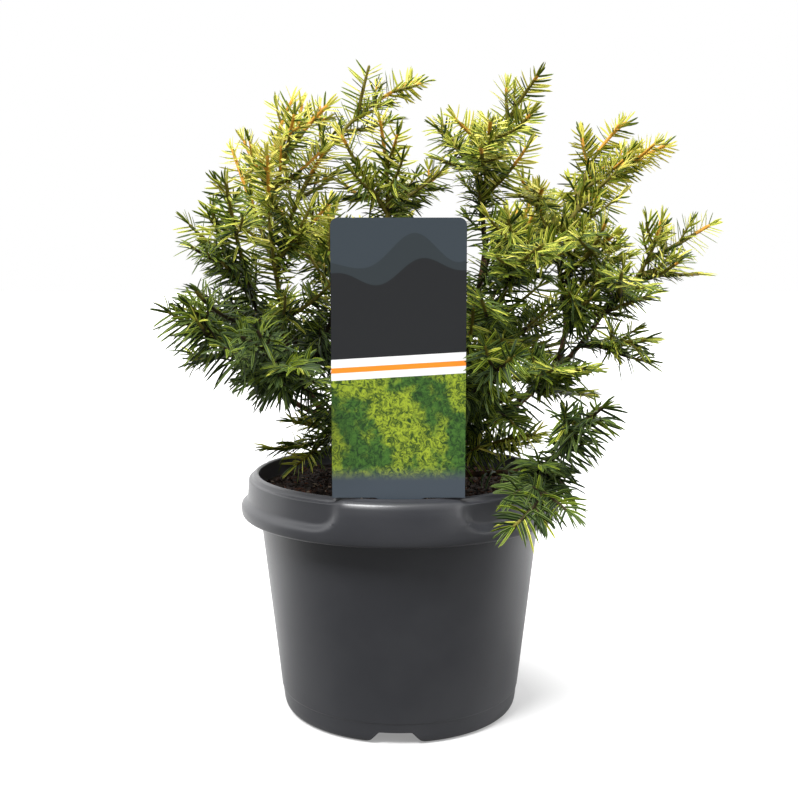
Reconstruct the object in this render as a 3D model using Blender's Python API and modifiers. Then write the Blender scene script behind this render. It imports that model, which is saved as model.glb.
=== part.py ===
"""A potted golden yew with its care card: a 19 cm nursery pot, potting soil, a short trunk with
eleven boughs, and masses of twigs and needles that grow from them by one seeded rule.

Metres, Z up. The origin is the middle of the pot's flat underside, and the card faces -Y.
"""

import math
import random

import bmesh
import bpy
import numpy as np

MM = 0.001
GAP = 0.3 * MM
SIDE_GAP = 0.4 * MM
SEED = 7

# Pot, in mm: the wall is a cone with a rim that hangs outside it.
TURN_STEPS = 48
WALL_FOOT_RADIUS = 70.2
WALL_SLOPE = 0.115
WALL = 1.0
FLOOR = 1.5
LIP_HEIGHT = 143.0
LIP_INNER = 84.5
LIP_OUTER = 86.1
RIM_RADIUS = 95.0
RIM_FOOT = 118.2
RIM_SKIN = 1.4
STEP_HEIGHT = 12.4
STEP_DEPTH = 0.4
RIM_PROFILE = (
    (93.4, RIM_FOOT), (94.6, 119.2), (RIM_RADIUS, 121.6), (RIM_RADIUS - 0.1, 125.5), (94.4, 129.5),
    (93.4, 135.0), (92.2, 139.0), (91.0, 141.0), (89.4, 141.9), (87.6, 142.2),
)
GRIP_FROM, GRIP_TO = 22, 110
GRIP_FOOT = 126.0
GRIP_RADIUS, GRIP_TAPER = 91.3, 0.06
GRIP_DROP = 1.8
GRIP_BLEND = 2.5
GRIP_CORNER_TURN, GRIP_CORNER_RISE = 8.0, 8.0
CHANNEL_WIDTH, CHANNEL_TOP_WIDTH = 29.0, 19.6
CHANNEL_HEIGHT = 7.4
CHANNEL_START = 25.0
CHANNEL_TURNS = (-92, 28, 148)
CHANNEL_SKIN = 1.5

# Soil, in mm
SOIL_HEIGHT = 134.0
SOIL_EDGE_DROP = 1.0

# Card, in mm
CARD_LEFT, CARD_RIGHT = -35.8, 34.4
CARD_PLANE = -83.0
CARD_LOW, CARD_HIGH = 143.3, 289.5
CARD_THICK = 0.6
CARD_CORNER = 4.0
CARD_FOOT = ((11.5, 142.6), (9.0, 136.0), (3.0, 128.2))

# Trunk, in mm and degrees: the azimuth and elevation turn evenly from the first value to the second.
TRUNK_FOOT = (1.0, 0.5)
TRUNK_AZIMUTH, TRUNK_ELEVATION = (20, 60), (86, 80)
TRUNK_LENGTH = 32
TRUNK_RADII = (6.4, 4.2)
ROOT_FLARE, FLARE_HEIGHT = 3.2, 5.0

# Boughs: the limb each one leaves and how far along it, azimuths, elevations, length, radii.
LIMBS = {
    "left_bough": ("trunk", 0.45, (162, 223), (19, 77), 106, (2.9, 1.6)),
    "low_left_bough": ("left_bough", 0.45, (-148, -121), (25, 37), 68, (1.8, 1.2)),
    "centre_left_bough": ("trunk", 1.0, (-170, -105), (80, 82), 112, (3.0, 1.6)),
    "centre_right_bough": ("trunk", 0.75, (-10, -10), (56, 84), 126, (2.6, 1.6)),
    "right_bough": ("trunk", 0.35, (38, -54), (15, 53), 120, (3.0, 2.0)),
    "right_up_bough": ("right_bough", 1.0, (46, 96), (56, 65), 31, (1.6, 1.4)),
    "right_out_bough": ("right_bough", 0.8, (-18, -48), (42, 55), 61, (1.6, 1.4)),
    "low_right_bough": ("trunk", 0.24, (-38, -30), (2, 12), 78, (2.0, 1.4)),
    "back_left_bough": ("trunk", 0.8, (140, 118), (38, 66), 100, (2.5, 1.5)),
    "back_bough": ("trunk", 0.62, (84, 96), (40, 62), 104, (2.5, 1.5)),
    "back_right_bough": ("trunk", 0.88, (48, 34), (44, 56), 112, (2.5, 1.5)),
}

# Foliage masses: each shoot with the stem that it leaves and how far along, azimuths, elevations, length.
MASSES = {
    "left_top_mass": {
        "leader": ("left_bough", 1.0, (94, 24), (130, 60), 141),
        "second": ("leader", 0.55, (-24, -9), (77, 39), 66),
        "outer": ("leader", 0.32, (131, 129), (57, 58), 81),
        "arch": ("leader", 0.28, (28, 37), (81, 20), 158),
        "inner": ("leader", 0.08, (4, 18), (24, 52), 42),
    },
    "left_outer_mass": {
        "leader": ("left_bough", 0.86, (-176, -85), (60, 47), 107),
        "inner": ("leader", 0.33, (-103, -90), (50, 46), 92),
        "low": ("leader", 0.22, (-122, -111), (-1, 36), 72),
    },
    "low_left_mass": {
        "leader": ("low_left_bough", 1.0, (-142, -160), (39, 31), 56),
        "upper": ("leader", 0.36, (-112, -129), (44, 42), 33),
        "under": ("leader", 0.3, (120, 185), (-36, 25), 30),
    },
    "left_front_mass": {
        "leader": ("low_left_bough", 0.62, (-81, -99), (17, 32), 97),
        "star": ("leader", 0.27, (-81, -78), (14, 12), 53),
    },
    "low_left_twig_mass": {
        "leader": ("left_bough", 0.28, (167, 169), (20, 7), 37),
        "soil": ("leader", 0.12, (-171, -225), (-19, -6), 52),
    },
    "centre_left_mass": {
        "leader": ("centre_left_bough", 1.0, (-134, -120), (101, 70), 71),
        "lean": ("leader", 0.25, (-165, -160), (54, 62), 51),
        "left_low": ("lean", 0.24, (103, 137), (-9, 33), 42),
        "right_dark": ("leader", 0.28, (49, 70), (24, 18), 66),
    },
    "centre_right_mass": {
        "leader": ("centre_right_bough", 1.0, (40, -49), (102, 42), 104),
        "left": ("leader", 0.33, (141, 132), (51, 48), 50),
        "star": ("leader", 0.39, (-100, -96), (12, 12), 53),
        "yellow": ("leader", 0.49, (-99, -92), (18, 17), 50),
    },
    "front_upright_mass": {
        "leader": ("right_bough", 0.36, (-31, -108), (82, 31), 156),
        "side": ("leader", 0.64, (-85, -74), (24, 13), 69),
        "left": ("leader", 0.37, (-94, -101), (20, 19), 87),
    },
    "front_spray_mass": {
        "leader": ("right_bough", 0.22, (-91, -55), (31, 31), 124),
        "under": ("leader", 0.38, (-30, -72), (21, -22), 48),
    },
    "right_star_mass": {
        "leader": ("right_bough", 0.8, (-93, -88), (15, 11), 83),
        "side": ("leader", 0.33, (-68, -77), (8, 18), 39),
    },
    "right_mid_mass": {
        "leader": ("right_up_bough", 1.0, (139, 217), (86, 52), 84),
        "far": ("leader", 0.42, (50, -24), (59, 24), 98),
        "up": ("far", 0.33, (70, 2), (68, 40), 68),
        "yellow": ("leader", 0.8, (-85, -92), (11, 13), 30),
        "short": ("leader", 0.24, (-60, -60), (27, 27), 52),
        "short_up": ("short", 0.47, (-79, -86), (20, 34), 41),
        "outer": ("leader", 0.08, (-4, -30), (34, 62), 46),
    },
    "right_far_mass": {
        "leader": ("right_out_bough", 1.0, (-7, -28), (38, 80), 62),
        "far": ("leader", 0.61, (19, 18), (26, 28), 46),
        "flat": ("leader", 0.47, (-32, -33), (-1, 3), 35),
        "star": ("leader", 0.21, (-104, -98), (16, 15), 54),
        "back": ("leader", 0.12, (87, 75), (13, 15), 52),
    },
    "right_low_mass": {
        "leader": ("right_out_bough", 0.6, (-60, -58), (8, 6), 54),
        "hang": ("leader", 0.29, (-55, -56), (-6, 11), 19),
    },
    "low_right_mass": {
        "leader": ("low_right_bough", 1.0, (-50, -67), (14, 67), 53),
        "far": ("leader", 0.59, (-63, -55), (45, 34), 42),
        "hang": ("leader", 0.09, (-70, -145), (-10, -27), 63),
        "low": ("leader", 0.18, (-25, -48), (-21, -42), 18),
    },
    "back_left_top_mass": {
        "leader": ("back_left_bough", 1.0, (118, 84), (66, 59), 77),
        "outer": ("leader", 0.28, (150, 141), (40, 50), 61),
        "back": ("leader", 0.39, (95, 99), (35, 44), 53),
    },
    "back_left_low_mass": {
        "leader": ("back_left_bough", 0.55, (160, 149), (22, 38), 83),
        "back": ("leader", 0.28, (112, 105), (20, 28), 51),
        "outer": ("leader", 0.44, (178, 171), (20, 40), 43),
    },
    "back_top_mass": {
        "leader": ("back_bough", 1.0, (96, 86), (66, 62), 74),
        "right": ("leader", 0.22, (40, 53), (40, 44), 50),
        "left": ("leader", 0.34, (132, 120), (38, 50), 48),
    },
    "back_low_mass": {
        "leader": ("back_bough", 0.45, (100, 93), (16, 32), 71),
        "right": ("leader", 0.25, (62, 69), (14, 22), 47),
        "low": ("leader", 0.16, (118, 113), (-6, 7), 47),
    },
    "back_right_top_mass": {
        "leader": ("back_right_bough", 1.0, (34, 59), (56, 63), 69),
        "out": ("leader", 0.28, (20, 30), (30, 39), 57),
        "back": ("leader", 0.36, (76, 81), (36, 41), 53),
    },
    "back_right_low_mass": {
        "leader": ("back_right_bough", 0.52, (22, 33), (18, 32), 87),
        "back": ("leader", 0.31, (58, 65), (18, 28), 55),
        "low": ("leader", 0.18, (4, 11), (2, 14), 53),
    },
    "left_back_mass": {
        "leader": ("left_bough", 0.62, (150, 161), (36, 40), 86),
        "back": ("leader", 0.33, (118, 113), (20, 32), 50),
    },
    "back_soil_mass": {
        "leader": ("trunk", 0.3, (120, 127), (14, 10), 75),
        "right": ("leader", 0.34, (84, 79), (10, 13), 41),
    },
    "back_right_soil_mass": {
        "leader": ("trunk", 0.12, (58, 42), (14, 14), 75),
        "back": ("leader", 0.39, (74, 79), (10, 15), 39),
    },
    "left_inner_mass": {
        "leader": ("left_bough", 0.72, (50, 95), (38, 68), 60),
        "low": ("leader", 0.3, (14, -6), (8, 20), 34),
        "front": ("leader", 0.18, (-55, -30), (48, 72), 48),
    },
    "centre_mass": {
        "leader": ("centre_right_bough", 0.5, (-128, -150), (22, 56), 56),
        "side": ("leader", 0.4, (-88, -80), (22, 30), 34),
        "up": ("leader", 0.3, (-12, -4), (46, 78), 60),
    },
    "right_inner_mass": {
        "leader": ("right_up_bough", 0.45, (-72, -50), (40, 58), 50),
        "side": ("leader", 0.3, (-100, -110), (24, 30), 36),
        "out": ("leader", 0.25, (-36, -20), (16, 24), 48),
    },
    "low_inner_mass": {
        "leader": ("low_right_bough", 0.3, (-14, -34), (40, 8), 62),
        "back": ("leader", 0.3, (12, 4), (20, 8), 34),
    },
    "front_inner_left_mass": {
        "leader": ("trunk", 0.5, (-118, -112), (22, 66), 92),
        "side": ("leader", 0.3, (-170, -150), (24, 50), 46),
        "right": ("leader", 0.42, (-52, -60), (30, 56), 40),
    },
    "front_inner_right_mass": {
        "leader": ("centre_right_bough", 0.3, (-66, -84), (24, 72), 74),
        "side": ("leader", 0.35, (-20, -40), (24, 50), 34),
    },
    "back_centre_mass": {
        "leader": ("centre_right_bough", 0.42, (84, 100), (32, 78), 82),
        "back": ("leader", 0.34, (80, 84), (18, 44), 46),
        "left": ("leader", 0.5, (140, 120), (34, 62), 38),
    },
    "back_inner_mass": {
        "leader": ("centre_left_bough", 0.44, (112, 96), (26, 70), 66),
        "left": ("leader", 0.36, (150, 130), (20, 48), 36),
    },
}

# The seeded rule of the twigs and needles
GOLDEN_TURN = 137.5
TWIG_FIRST = 13 * MM
TWIG_SPACING = 15.5 * MM
TWIG_ANGLE = 50
TWIG_SHARE = 0.5
TWIG_MARGIN = 9 * MM
TWIG_LONGEST = 40 * MM
TWIG_SHORTEST = 16 * MM
UPRIGHT = 0.72
SHOOT_RADII = (1.35, 0.75)
TWIG_RADII = (1.0, 0.65)
WHORL_SPACING = 15 * MM
WHORL_WIDTH = 6 * MM
WHORL_FIRST = 9.5 * MM
WHORL_TWIST = 25
ROOT_REACH = 2.4 * MM
ROOT_DEPTH = 0.45 * MM
NEEDLE_LENGTH = 16 * MM
NEEDLE_SWEEPS = (36, 66)
TIP_SWEEP = 10
ROOT_SHARE = 0.12
THICKET_REACH = 20 * MM
TIP_LENGTH = 6 * MM
SPACE_MARGIN = 3 * MM
NEEDLE_MARGIN = 2 * MM
LIMB_ROOM = 1.9 * MM
CARD_ROOM = 2.2
CROWN_TOP = 381.0

POT_COLOR = (0.058, 0.062, 0.070)
SOIL_COLOR = (0.030, 0.018, 0.012)
CARD_COLOR = (0.060, 0.078, 0.092)
BARK_COLOR = (0.165, 0.085, 0.040)
GOLD_COLOR = (0.330, 0.320, 0.045)
GREEN_COLOR = (0.095, 0.150, 0.030)
DARK_COLOR = (0.028, 0.060, 0.020)
GOLD_MASSES = ("left_top", "left_outer", "centre_left", "centre_right", "right_mid", "right_far",
               "back_left_top", "back_top", "back_right_top")
DARK_MASSES = ("low_left_twig", "low_right", "low_inner", "back_soil", "back_right_soil", "back_low",
               "back_right_low", "right_low")


# Directions and paths

def heading(azimuth, elevation):
    azimuth, elevation = np.radians(azimuth), np.radians(elevation)
    flat = np.cos(elevation)
    return np.stack([flat * np.cos(azimuth), flat * np.sin(azimuth), np.sin(elevation)], -1)


def unit(vector):
    return vector / np.linalg.norm(vector, axis=-1, keepdims=True)


class Path:
    """A smooth line through evenly spaced points."""

    def __init__(self, start, headings, length):
        self.length = length
        steps = np.cumsum(headings, 0) * length / len(headings)
        self.points = np.vstack([start, start + steps])

    def at(self, share):
        share = np.atleast_1d(share)
        place = np.clip(share, 0, 1) * (len(self.points) - 1)
        low = np.minimum(place.astype(int), len(self.points) - 2)
        part = (place - low)[:, None]
        found = self.points[low] * (1 - part) + self.points[low + 1] * part
        return found if len(share) > 1 else found[0]

    def direction(self, share):
        share = min(max(share, 0.03), 0.97)
        return unit(self.at(share + 0.03) - self.at(share - 0.03))

    def spread(self, step):
        return self.at(np.linspace(0, 1, max(3, math.ceil(self.length / step) + 1)))

    def cut(self, length):
        points = self.at(np.linspace(0, length / self.length, 9))
        return Path(points[0], np.diff(points, axis=0) * 8 / length, length)


def turning(start, azimuths, elevations, length):
    """A path whose azimuth and elevation change evenly along it."""
    steps = max(6, round(length / (3 * MM)))
    share = (np.arange(steps) + 0.5) / steps
    azimuth = azimuths[0] + (azimuths[1] - azimuths[0]) * share
    elevation = elevations[0] + (elevations[1] - elevations[0]) * share
    return Path(start, heading(azimuth, elevation), length)


def bending(start, first, last, length):
    """A path that turns from one direction to another."""
    steps = max(6, round(length / (3 * MM)))
    share = ((np.arange(steps) + 0.5) / steps)[:, None]
    return Path(start, unit(first * (1 - share) + last * share), length)


def flare(height):
    """How much wider than its taper the trunk is at a height in metres."""
    return ROOT_FLARE * np.exp(-(height / MM - SOIL_HEIGHT) / FLARE_HEIGHT)


def limb_radius(path, radii, share):
    """A limb's radius in mm part way along it, with the trunk's flare."""
    radius = radii[0] + (radii[1] - radii[0]) * share
    return radius + flare(path.at(share)[2]) if radii is TRUNK_RADII else radius


def seat(carrier, radii, share, direction):
    """Where a stem starts 0.3 mm clear of its carrier, and the normal of its cut foot."""
    if share >= 1:
        face = carrier.direction(1)
        return carrier.points[-1] + face * GAP, face
    along = carrier.direction(share)
    face = unit(direction - along * (direction @ along))
    below = max(share - 4 * MM / carrier.length, 0)
    radius, wider = limb_radius(carrier, radii, share), limb_radius(carrier, radii, below)
    slope = (wider - radius) * MM / ((share - below) * carrier.length)
    start = carrier.at(share) + face * (radius * MM + SIDE_GAP)
    return start, unit(face + along * slope)


def grow_limbs():
    """Each limb's path, radii in mm and foot normal, from the trunk out."""
    foot = np.array([TRUNK_FOOT[0] * MM, TRUNK_FOOT[1] * MM, SOIL_HEIGHT * MM + GAP])
    path = turning(foot, TRUNK_AZIMUTH, TRUNK_ELEVATION, TRUNK_LENGTH * MM)
    limbs = {"trunk": (path, TRUNK_RADII, np.array([0.0, 0.0, 1.0]))}
    for name, (carrier, share, azimuths, elevations, length, radii) in LIMBS.items():
        path, carrier_radii, _ = limbs[carrier]
        start, face = seat(path, carrier_radii, share, heading(azimuths[0], elevations[0]))
        limbs[name] = (turning(start, azimuths, elevations, length * MM), radii, face)
    return limbs


def grow_shoots(limbs):
    """The named shoots of each mass, as path and foot normal. Only the leader has a cut foot."""
    masses = {}
    for mass, rows in MASSES.items():
        shoots = {}
        for name, (carrier, share, azimuths, elevations, length) in rows.items():
            if carrier in shoots:
                start, face = shoots[carrier][0].at(share), None
            else:
                path, radii, _ = limbs[carrier]
                start, face = seat(path, radii, share, heading(azimuths[0], elevations[0]))
            shoots[name] = (turning(start, azimuths, elevations, length * MM), face)
        masses[mass] = shoots
    return masses


# Room for twigs and needles

def nearest(points, others):
    return np.linalg.norm(points[:, None] - others[None], axis=2).min(1)


class Space:
    """Tells whether points lie in a mass's own space, clear of limbs, card, pot and soil."""

    def __init__(self, limbs, masses):
        rows = [path.spread(2.5 * MM) for path, _, _ in limbs.values()]
        radii = [np.linspace(*ends, len(row)) for row, (_, ends, _) in zip(rows, limbs.values())]
        radii[0] = radii[0] + flare(rows[0][:, 2])
        self.limb_points = np.vstack(rows)
        self.limb_radii = np.concatenate(radii) * MM
        self.shoots = {
            mass: np.vstack([path.spread(2.5 * MM) for path, _ in shoots.values()])
            for mass, shoots in masses.items()
        }

    def clear(self, mass, points, margin):
        x, y, z = points.T / MM
        radial = np.hypot(x, y)
        inside = (radial < 83) & (z > SOIL_HEIGHT + 1.8)
        good = (z > LIP_HEIGHT + 1.5) | (radial > RIM_RADIUS + 1.5) | inside
        by_card = (x > CARD_LEFT - CARD_ROOM) & (x < CARD_RIGHT + CARD_ROOM)
        by_card &= (z < CARD_HIGH + CARD_ROOM) & (abs(y - CARD_PLANE) < CARD_ROOM + CARD_THICK / 2)
        good &= ~by_card & (z < CROWN_TOP)
        limb = np.linalg.norm(points[:, None] - self.limb_points[None], axis=2) - self.limb_radii
        good &= limb.min(1) > LIMB_ROOM
        others = np.vstack([row for name, row in self.shoots.items() if name != mass])
        return good & (nearest(points, self.shoots[mass]) + margin < nearest(points, others))


def side_twigs(mass, path, space, chance):
    """Twigs that leave a shoot: in a spiral on an upright one, to both sides on a level one."""
    found = []
    upright = abs(path.direction(0.5)[2]) > UPRIGHT
    where, turn = TWIG_FIRST, chance.uniform(0, 360)
    while where < path.length - TWIG_MARGIN:
        along = path.direction(where / path.length)
        level = np.cross(along, [0, 0, 1])
        level = unit(level) if np.linalg.norm(level) > 0.1 else np.array([1.0, 0, 0])
        turn += GOLDEN_TURN if upright else 180
        spread = math.radians(turn if upright else turn - turn % 180 + chance.uniform(-18, 38))
        out = level * math.cos(spread) + np.cross(level, along) * math.sin(spread)
        angle = math.radians(TWIG_ANGLE + chance.uniform(-8, 8))
        first = along * math.cos(angle) + out * math.sin(angle)
        last = unit(first + along * 0.45 + np.array([0, 0, 0.15]))
        reach = (TWIG_SHARE * (path.length - where) + TWIG_MARGIN) * chance.uniform(0.75, 1.15)
        reach = min(reach, TWIG_LONGEST)
        twig = bending(path.at(where / path.length), first, last, reach)
        points = twig.spread(2 * MM)
        good = space.clear(mass, points[2:], SPACE_MARGIN)
        if not good.all():
            reach = reach * (int(np.argmin(good)) + 1) / (len(points) - 1)
            twig = twig.cut(reach)
        if reach >= TWIG_SHORTEST:
            found.append(twig)
        where += TWIG_SPACING * chance.uniform(0.85, 1.2)
    return found


# Stems with needles

def frame_along(path, shares):
    """Points, tangents and two even cross directions at each ring."""
    points = path.at(shares)
    tangents = np.array([path.direction(share) for share in shares])
    side = np.cross(tangents[0], [0, 0, 1])
    if np.linalg.norm(side) < 0.1:
        side = np.array([1.0, 0, 0])
    sides = []
    for tangent in tangents:
        side = unit(side - tangent * (side @ tangent))
        sides.append(side)
    sides = np.array(sides)
    return points, tangents, sides, np.cross(tangents, sides)


def slide_to_foot(ring, start, face, direction):
    """The ring's points moved along the stem onto the plane of its cut foot."""
    drop = ((start - ring) @ face) / (direction @ face)
    return ring + drop[:, None] * direction


def stem_rings(path, radii, face):
    """Three-sided rings, each turned against the last, so that six faces join two of them.

    The rings stand in close pairs, one pair for each whorl of needles, from the tip back. A stem
    with no cut foot starts as a point sunk in the stem that it leaves.
    """
    places = [path.length - TIP_LENGTH]
    while len(places) == 1 or places[-1] > WHORL_FIRST:
        places += [places[-1] - WHORL_WIDTH, places[-1] - WHORL_SPACING]
    first = 0 if face is not None else ROOT_REACH
    shares = np.array([first, *reversed(places[:-1])]) / path.length
    points, tangents, sides, ups = frame_along(path, shares)
    rings = []
    for ring, share in enumerate(shares):
        radius = (radii[0] + (radii[1] - radii[0]) * share) * MM
        turns = np.radians(60 * ring + WHORL_TWIST * (ring // 2) + np.array([0, 120, 240]))[:, None]
        rings.append(points[ring] + radius * (np.cos(turns) * sides[ring] + np.sin(turns) * ups[ring]))
    if face is not None:
        rings[0] = slide_to_foot(rings[0], path.points[0], face, tangents[0])
        return points, tangents, rings, None
    return points, tangents, rings, path.points[0] - tangents[0] * ROOT_DEPTH


def ring_faces(ring):
    """The six faces between a ring and the next, as (ring, corner) pairs that face out."""
    faces = []
    for corner in range(3):
        after = (corner + 1) % 3
        faces.append(((ring, corner), (ring, after), (ring + 1, corner)))
        faces.append(((ring + 1, corner), (ring, after), (ring + 1, after)))
    return faces


def crossed(starts, ends, triangles):
    """Whether any of the lines passes through any of the triangles."""
    first = triangles[:, 1] - triangles[:, 0]
    second = triangles[:, 2] - triangles[:, 0]
    along = (ends - starts)[:, None]
    normal = np.cross(along, second)
    scale = (first * normal).sum(-1)
    scale = np.where(abs(scale) < 1e-15, 1e-15, scale)
    offset = starts[:, None] - triangles[:, 0]
    turned = np.cross(offset, first)
    u = (offset * normal).sum(-1) / scale
    v = (turned * along).sum(-1) / scale
    t = (second * turned).sum(-1) / scale
    return ((u >= 0) & (v >= 0) & (u + v <= 1) & (t >= 0) & (t <= 1)).any()


def spike(corners, tip):
    """The three sides of a needle that stands on these corners."""
    return np.array([[corners[i], corners[(i + 1) % 3], tip] for i in range(3)])


class Thicket:
    """The faces of one mass so far, each with the stem that it belongs to."""

    def __init__(self, stems):
        rows, owners = [], []
        for owner, (_, _, rings, _) in enumerate(stems):
            for ring in range(len(rings) - 1):
                for face in ring_faces(ring):
                    rows.append([rings[row][corner] for row, corner in face])
                    owners.append(owner)
        self.triangles = np.array(rows)
        self.owners = np.array(owners)
        self.needles = np.zeros((0, 3, 3))

    def near(self, triangles, middle):
        return np.linalg.norm(triangles.mean(1) - middle, axis=1) < THICKET_REACH

    def crosses(self, owner, corners, tip):
        """Whether a needle on these corners would pass through another stem or needle."""
        middle = (corners.mean(0) + tip) / 2
        cores = self.triangles[self.near(self.triangles, middle) & (self.owners != owner)]
        needles = self.needles[self.near(self.needles, middle)]
        starts = corners + (tip - corners) * ROOT_SHARE
        ends = tip + (tip - starts) * 0.1
        if crossed(starts, ends, np.concatenate([cores, needles])):
            return True
        edges = np.concatenate([cores[:, [0, 1]], cores[:, [1, 2]], cores[:, [2, 0]]])
        rises = needles[:, [0, 2]]
        rises[:, 0] += (rises[:, 1] - rises[:, 0]) * ROOT_SHARE
        lines = np.concatenate([edges, rises])
        return crossed(lines[:, 0], lines[:, 1], spike(corners, tip))

    def add(self, corners, tip):
        self.needles = np.concatenate([self.needles, spike(corners, tip)])


def grow_needles(mass, owner, stem, space, thicket, chance):
    """The tip of the needle that stands on each face, where there is room for it."""
    points, tangents, rings, _ = stem
    last = len(rings) - 2
    tips = {}
    for ring in range(last, -1, -2):
        middle = (points[ring] + points[ring + 1]) / 2
        along = unit(tangents[ring] + tangents[ring + 1])
        folded = TIP_SWEEP if ring == last else 0
        for index, face in enumerate(ring_faces(ring)):
            corners = np.array([rings[row][corner] for row, corner in face])
            base = corners.mean(0)
            out = base - middle
            out = unit(out - along * (out @ along))
            sweep = math.radians(NEEDLE_SWEEPS[index % 2] - folded + chance.uniform(-8, 8))
            size = NEEDLE_LENGTH * chance.uniform(0.85, 1.1)
            tip = base + (along * math.cos(sweep) + out * math.sin(sweep)) * size
            line = base + (tip - base) * np.array([0.25, 0.5, 0.75, 1.0])[:, None]
            if space.clear(mass, line, NEEDLE_MARGIN).all() and not thicket.crosses(owner, corners, tip):
                tips[ring, index] = tip
                thicket.add(corners, tip)
    return tips


def stem_mesh(name, stem, tips):
    """A slim core with pointed needles raised from its faces."""
    points, tangents, rings, root = stem
    mesh = bmesh.new()
    corners = [[mesh.verts.new(corner) for corner in ring] for ring in rings]
    if root is None:
        mesh.faces.new(reversed(corners[0]))
    else:
        point = mesh.verts.new(root)
        for corner in range(3):
            mesh.faces.new((corners[0][(corner + 1) % 3], corners[0][corner], point))
    for ring in range(len(rings) - 1):
        for index, face in enumerate(ring_faces(ring)):
            made = mesh.faces.new([corners[row][corner] for row, corner in face])
            if (ring, index) in tips:
                raised = bmesh.ops.poke(mesh, faces=[made])
                raised["verts"][0].co = tips[ring, index]
    end = mesh.verts.new(points[-1] + tangents[-1] * TIP_LENGTH)
    for corner in range(3):
        mesh.faces.new((corners[-1][corner], corners[-1][(corner + 1) % 3], end))
    return finish_mesh(name, mesh)


# Mesh helpers

def finish_mesh(name, mesh):
    bmesh.ops.recalc_face_normals(mesh, faces=mesh.faces)
    data = bpy.data.meshes.new(name)
    mesh.to_mesh(data)
    mesh.free()
    return bpy.data.objects.new(name, data)


def make_material(name, color, roughness):
    material = bpy.data.materials.new(name)
    material.use_nodes = True
    shader = material.node_tree.nodes["Principled BSDF"]
    shader.inputs["Base Color"].default_value = (*color, 1)
    shader.inputs["Roughness"].default_value = roughness
    material.diffuse_color = (*color, 1)
    return material


def show(collection, obj, material):
    obj.data.materials.clear()
    obj.data.materials.append(material)
    collection.objects.link(obj)
    return obj


def hide(cutters, obj):
    obj.hide_render = True
    obj.display_type = "WIRE"
    cutters.objects.link(obj)


def apply_modifiers(obj):
    """The object's evaluated mesh in place of its own, with no modifier left."""
    graph = bpy.context.evaluated_depsgraph_get()
    made = bpy.data.meshes.new_from_object(obj.evaluated_get(graph))
    obj.modifiers.clear()
    old, obj.data = obj.data, made
    bpy.data.meshes.remove(old)


def keep_largest(obj):
    """Drops loose scraps and the skins of sealed hollows."""
    mesh = bmesh.new()
    mesh.from_mesh(obj.data)
    bmesh.ops.remove_doubles(mesh, verts=mesh.verts, dist=1e-7)
    unseen, islands = set(mesh.verts), []
    while unseen:
        island, edge = set(), [unseen.pop()]
        while edge:
            vert = edge.pop()
            island.add(vert)
            for other in (link.other_vert(vert) for link in vert.link_edges):
                if other in unseen:
                    unseen.discard(other)
                    edge.append(other)
        islands.append(island)
    islands.sort(key=len)
    for island in islands[:-1]:
        bmesh.ops.delete(mesh, geom=list(island), context="VERTS")
    mesh.to_mesh(obj.data)
    mesh.free()


def boolean(obj, operation, other):
    modifier = obj.modifiers.new(operation.lower(), "BOOLEAN")
    modifier.operation = operation
    modifier.solver = "EXACT"
    modifier.object = other
    return modifier


def spin(name, profile):
    """A closed body turned about Z from a profile of (radius, height) in mm."""
    mesh = bmesh.new()
    verts = [mesh.verts.new((radius * MM, 0, height * MM)) for radius, height in profile]
    for first, second in zip(verts, verts[1:]):
        mesh.edges.new((first, second))
    data = bpy.data.meshes.new(name)
    mesh.to_mesh(data)
    mesh.free()
    obj = bpy.data.objects.new(name, data)
    screw = obj.modifiers.new("turn", "SCREW")
    screw.steps = screw.render_steps = TURN_STEPS
    screw.use_merge_vertices = True
    screw.merge_threshold = 0.00001
    return obj


def prism(name, outline, low, high, place):
    """An outline of 2-D points in mm pushed from low to high, with place giving the 3-D point."""
    mesh = bmesh.new()
    layers = [[mesh.verts.new(place(u, v, w)) for u, v in outline] for w in (low, high)]
    mesh.faces.new(layers[0])
    mesh.faces.new(list(reversed(layers[1])))
    for index in range(len(outline)):
        after = (index + 1) % len(outline)
        mesh.faces.new((layers[0][after], layers[0][index], layers[1][index], layers[1][after]))
    return finish_mesh(name, mesh)


def in_front_plane(u, v, w):
    """The 3-D point of an outline drawn in the X-Z plane."""
    return (u * MM, w * MM, v * MM)


# Pot

def wall_radius(height):
    return WALL_FOOT_RADIUS + WALL_SLOPE * height


def pot_profile():
    """From the axis under the floor, up the outside, over the lip and down the inside."""
    outside = [(0, 0), (66.3, 0), (68.5, 0.7), (70.0, 2.1), (wall_radius(4.6), 4.6)]
    outside += [(wall_radius(STEP_HEIGHT), STEP_HEIGHT)]
    outside += [(wall_radius(STEP_HEIGHT) + STEP_DEPTH, STEP_HEIGHT + 0.6)]
    outside += [(wall_radius(136), 136)]
    under_rim = [(87.0, 139.6), (89.0, 139.4), (91.0, 137.0), (92.6, 131.0), (93.2, 125.5)]
    under_rim += [(93.3, 120.5), (92.6, 118.6)]
    lip = [(LIP_OUTER + 0.3, LIP_HEIGHT - 0.3), (85.3, LIP_HEIGHT), (LIP_INNER, LIP_HEIGHT - 0.6)]
    inside = [(LIP_INNER + 0.2, 139.5), (wall_radius(134) - WALL, 134)]
    inside += [(wall_radius(8) - WALL - 0.3, 8), (68.2, 2.9), (65.8, FLOOR)]
    inside += [(0, FLOOR)]
    return outside + under_rim + list(RIM_PROFILE) + lip + inside


def rim_radius(height):
    """The radius of the rim's outside, in mm."""
    heights = [point[1] for point in RIM_PROFILE]
    return float(np.interp(height, heights, [point[0] for point in RIM_PROFILE]))


def smooth(value, low, high):
    share = min(max((value - low) / (high - low), 0), 1)
    return share * share * (3 - 2 * share)


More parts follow.
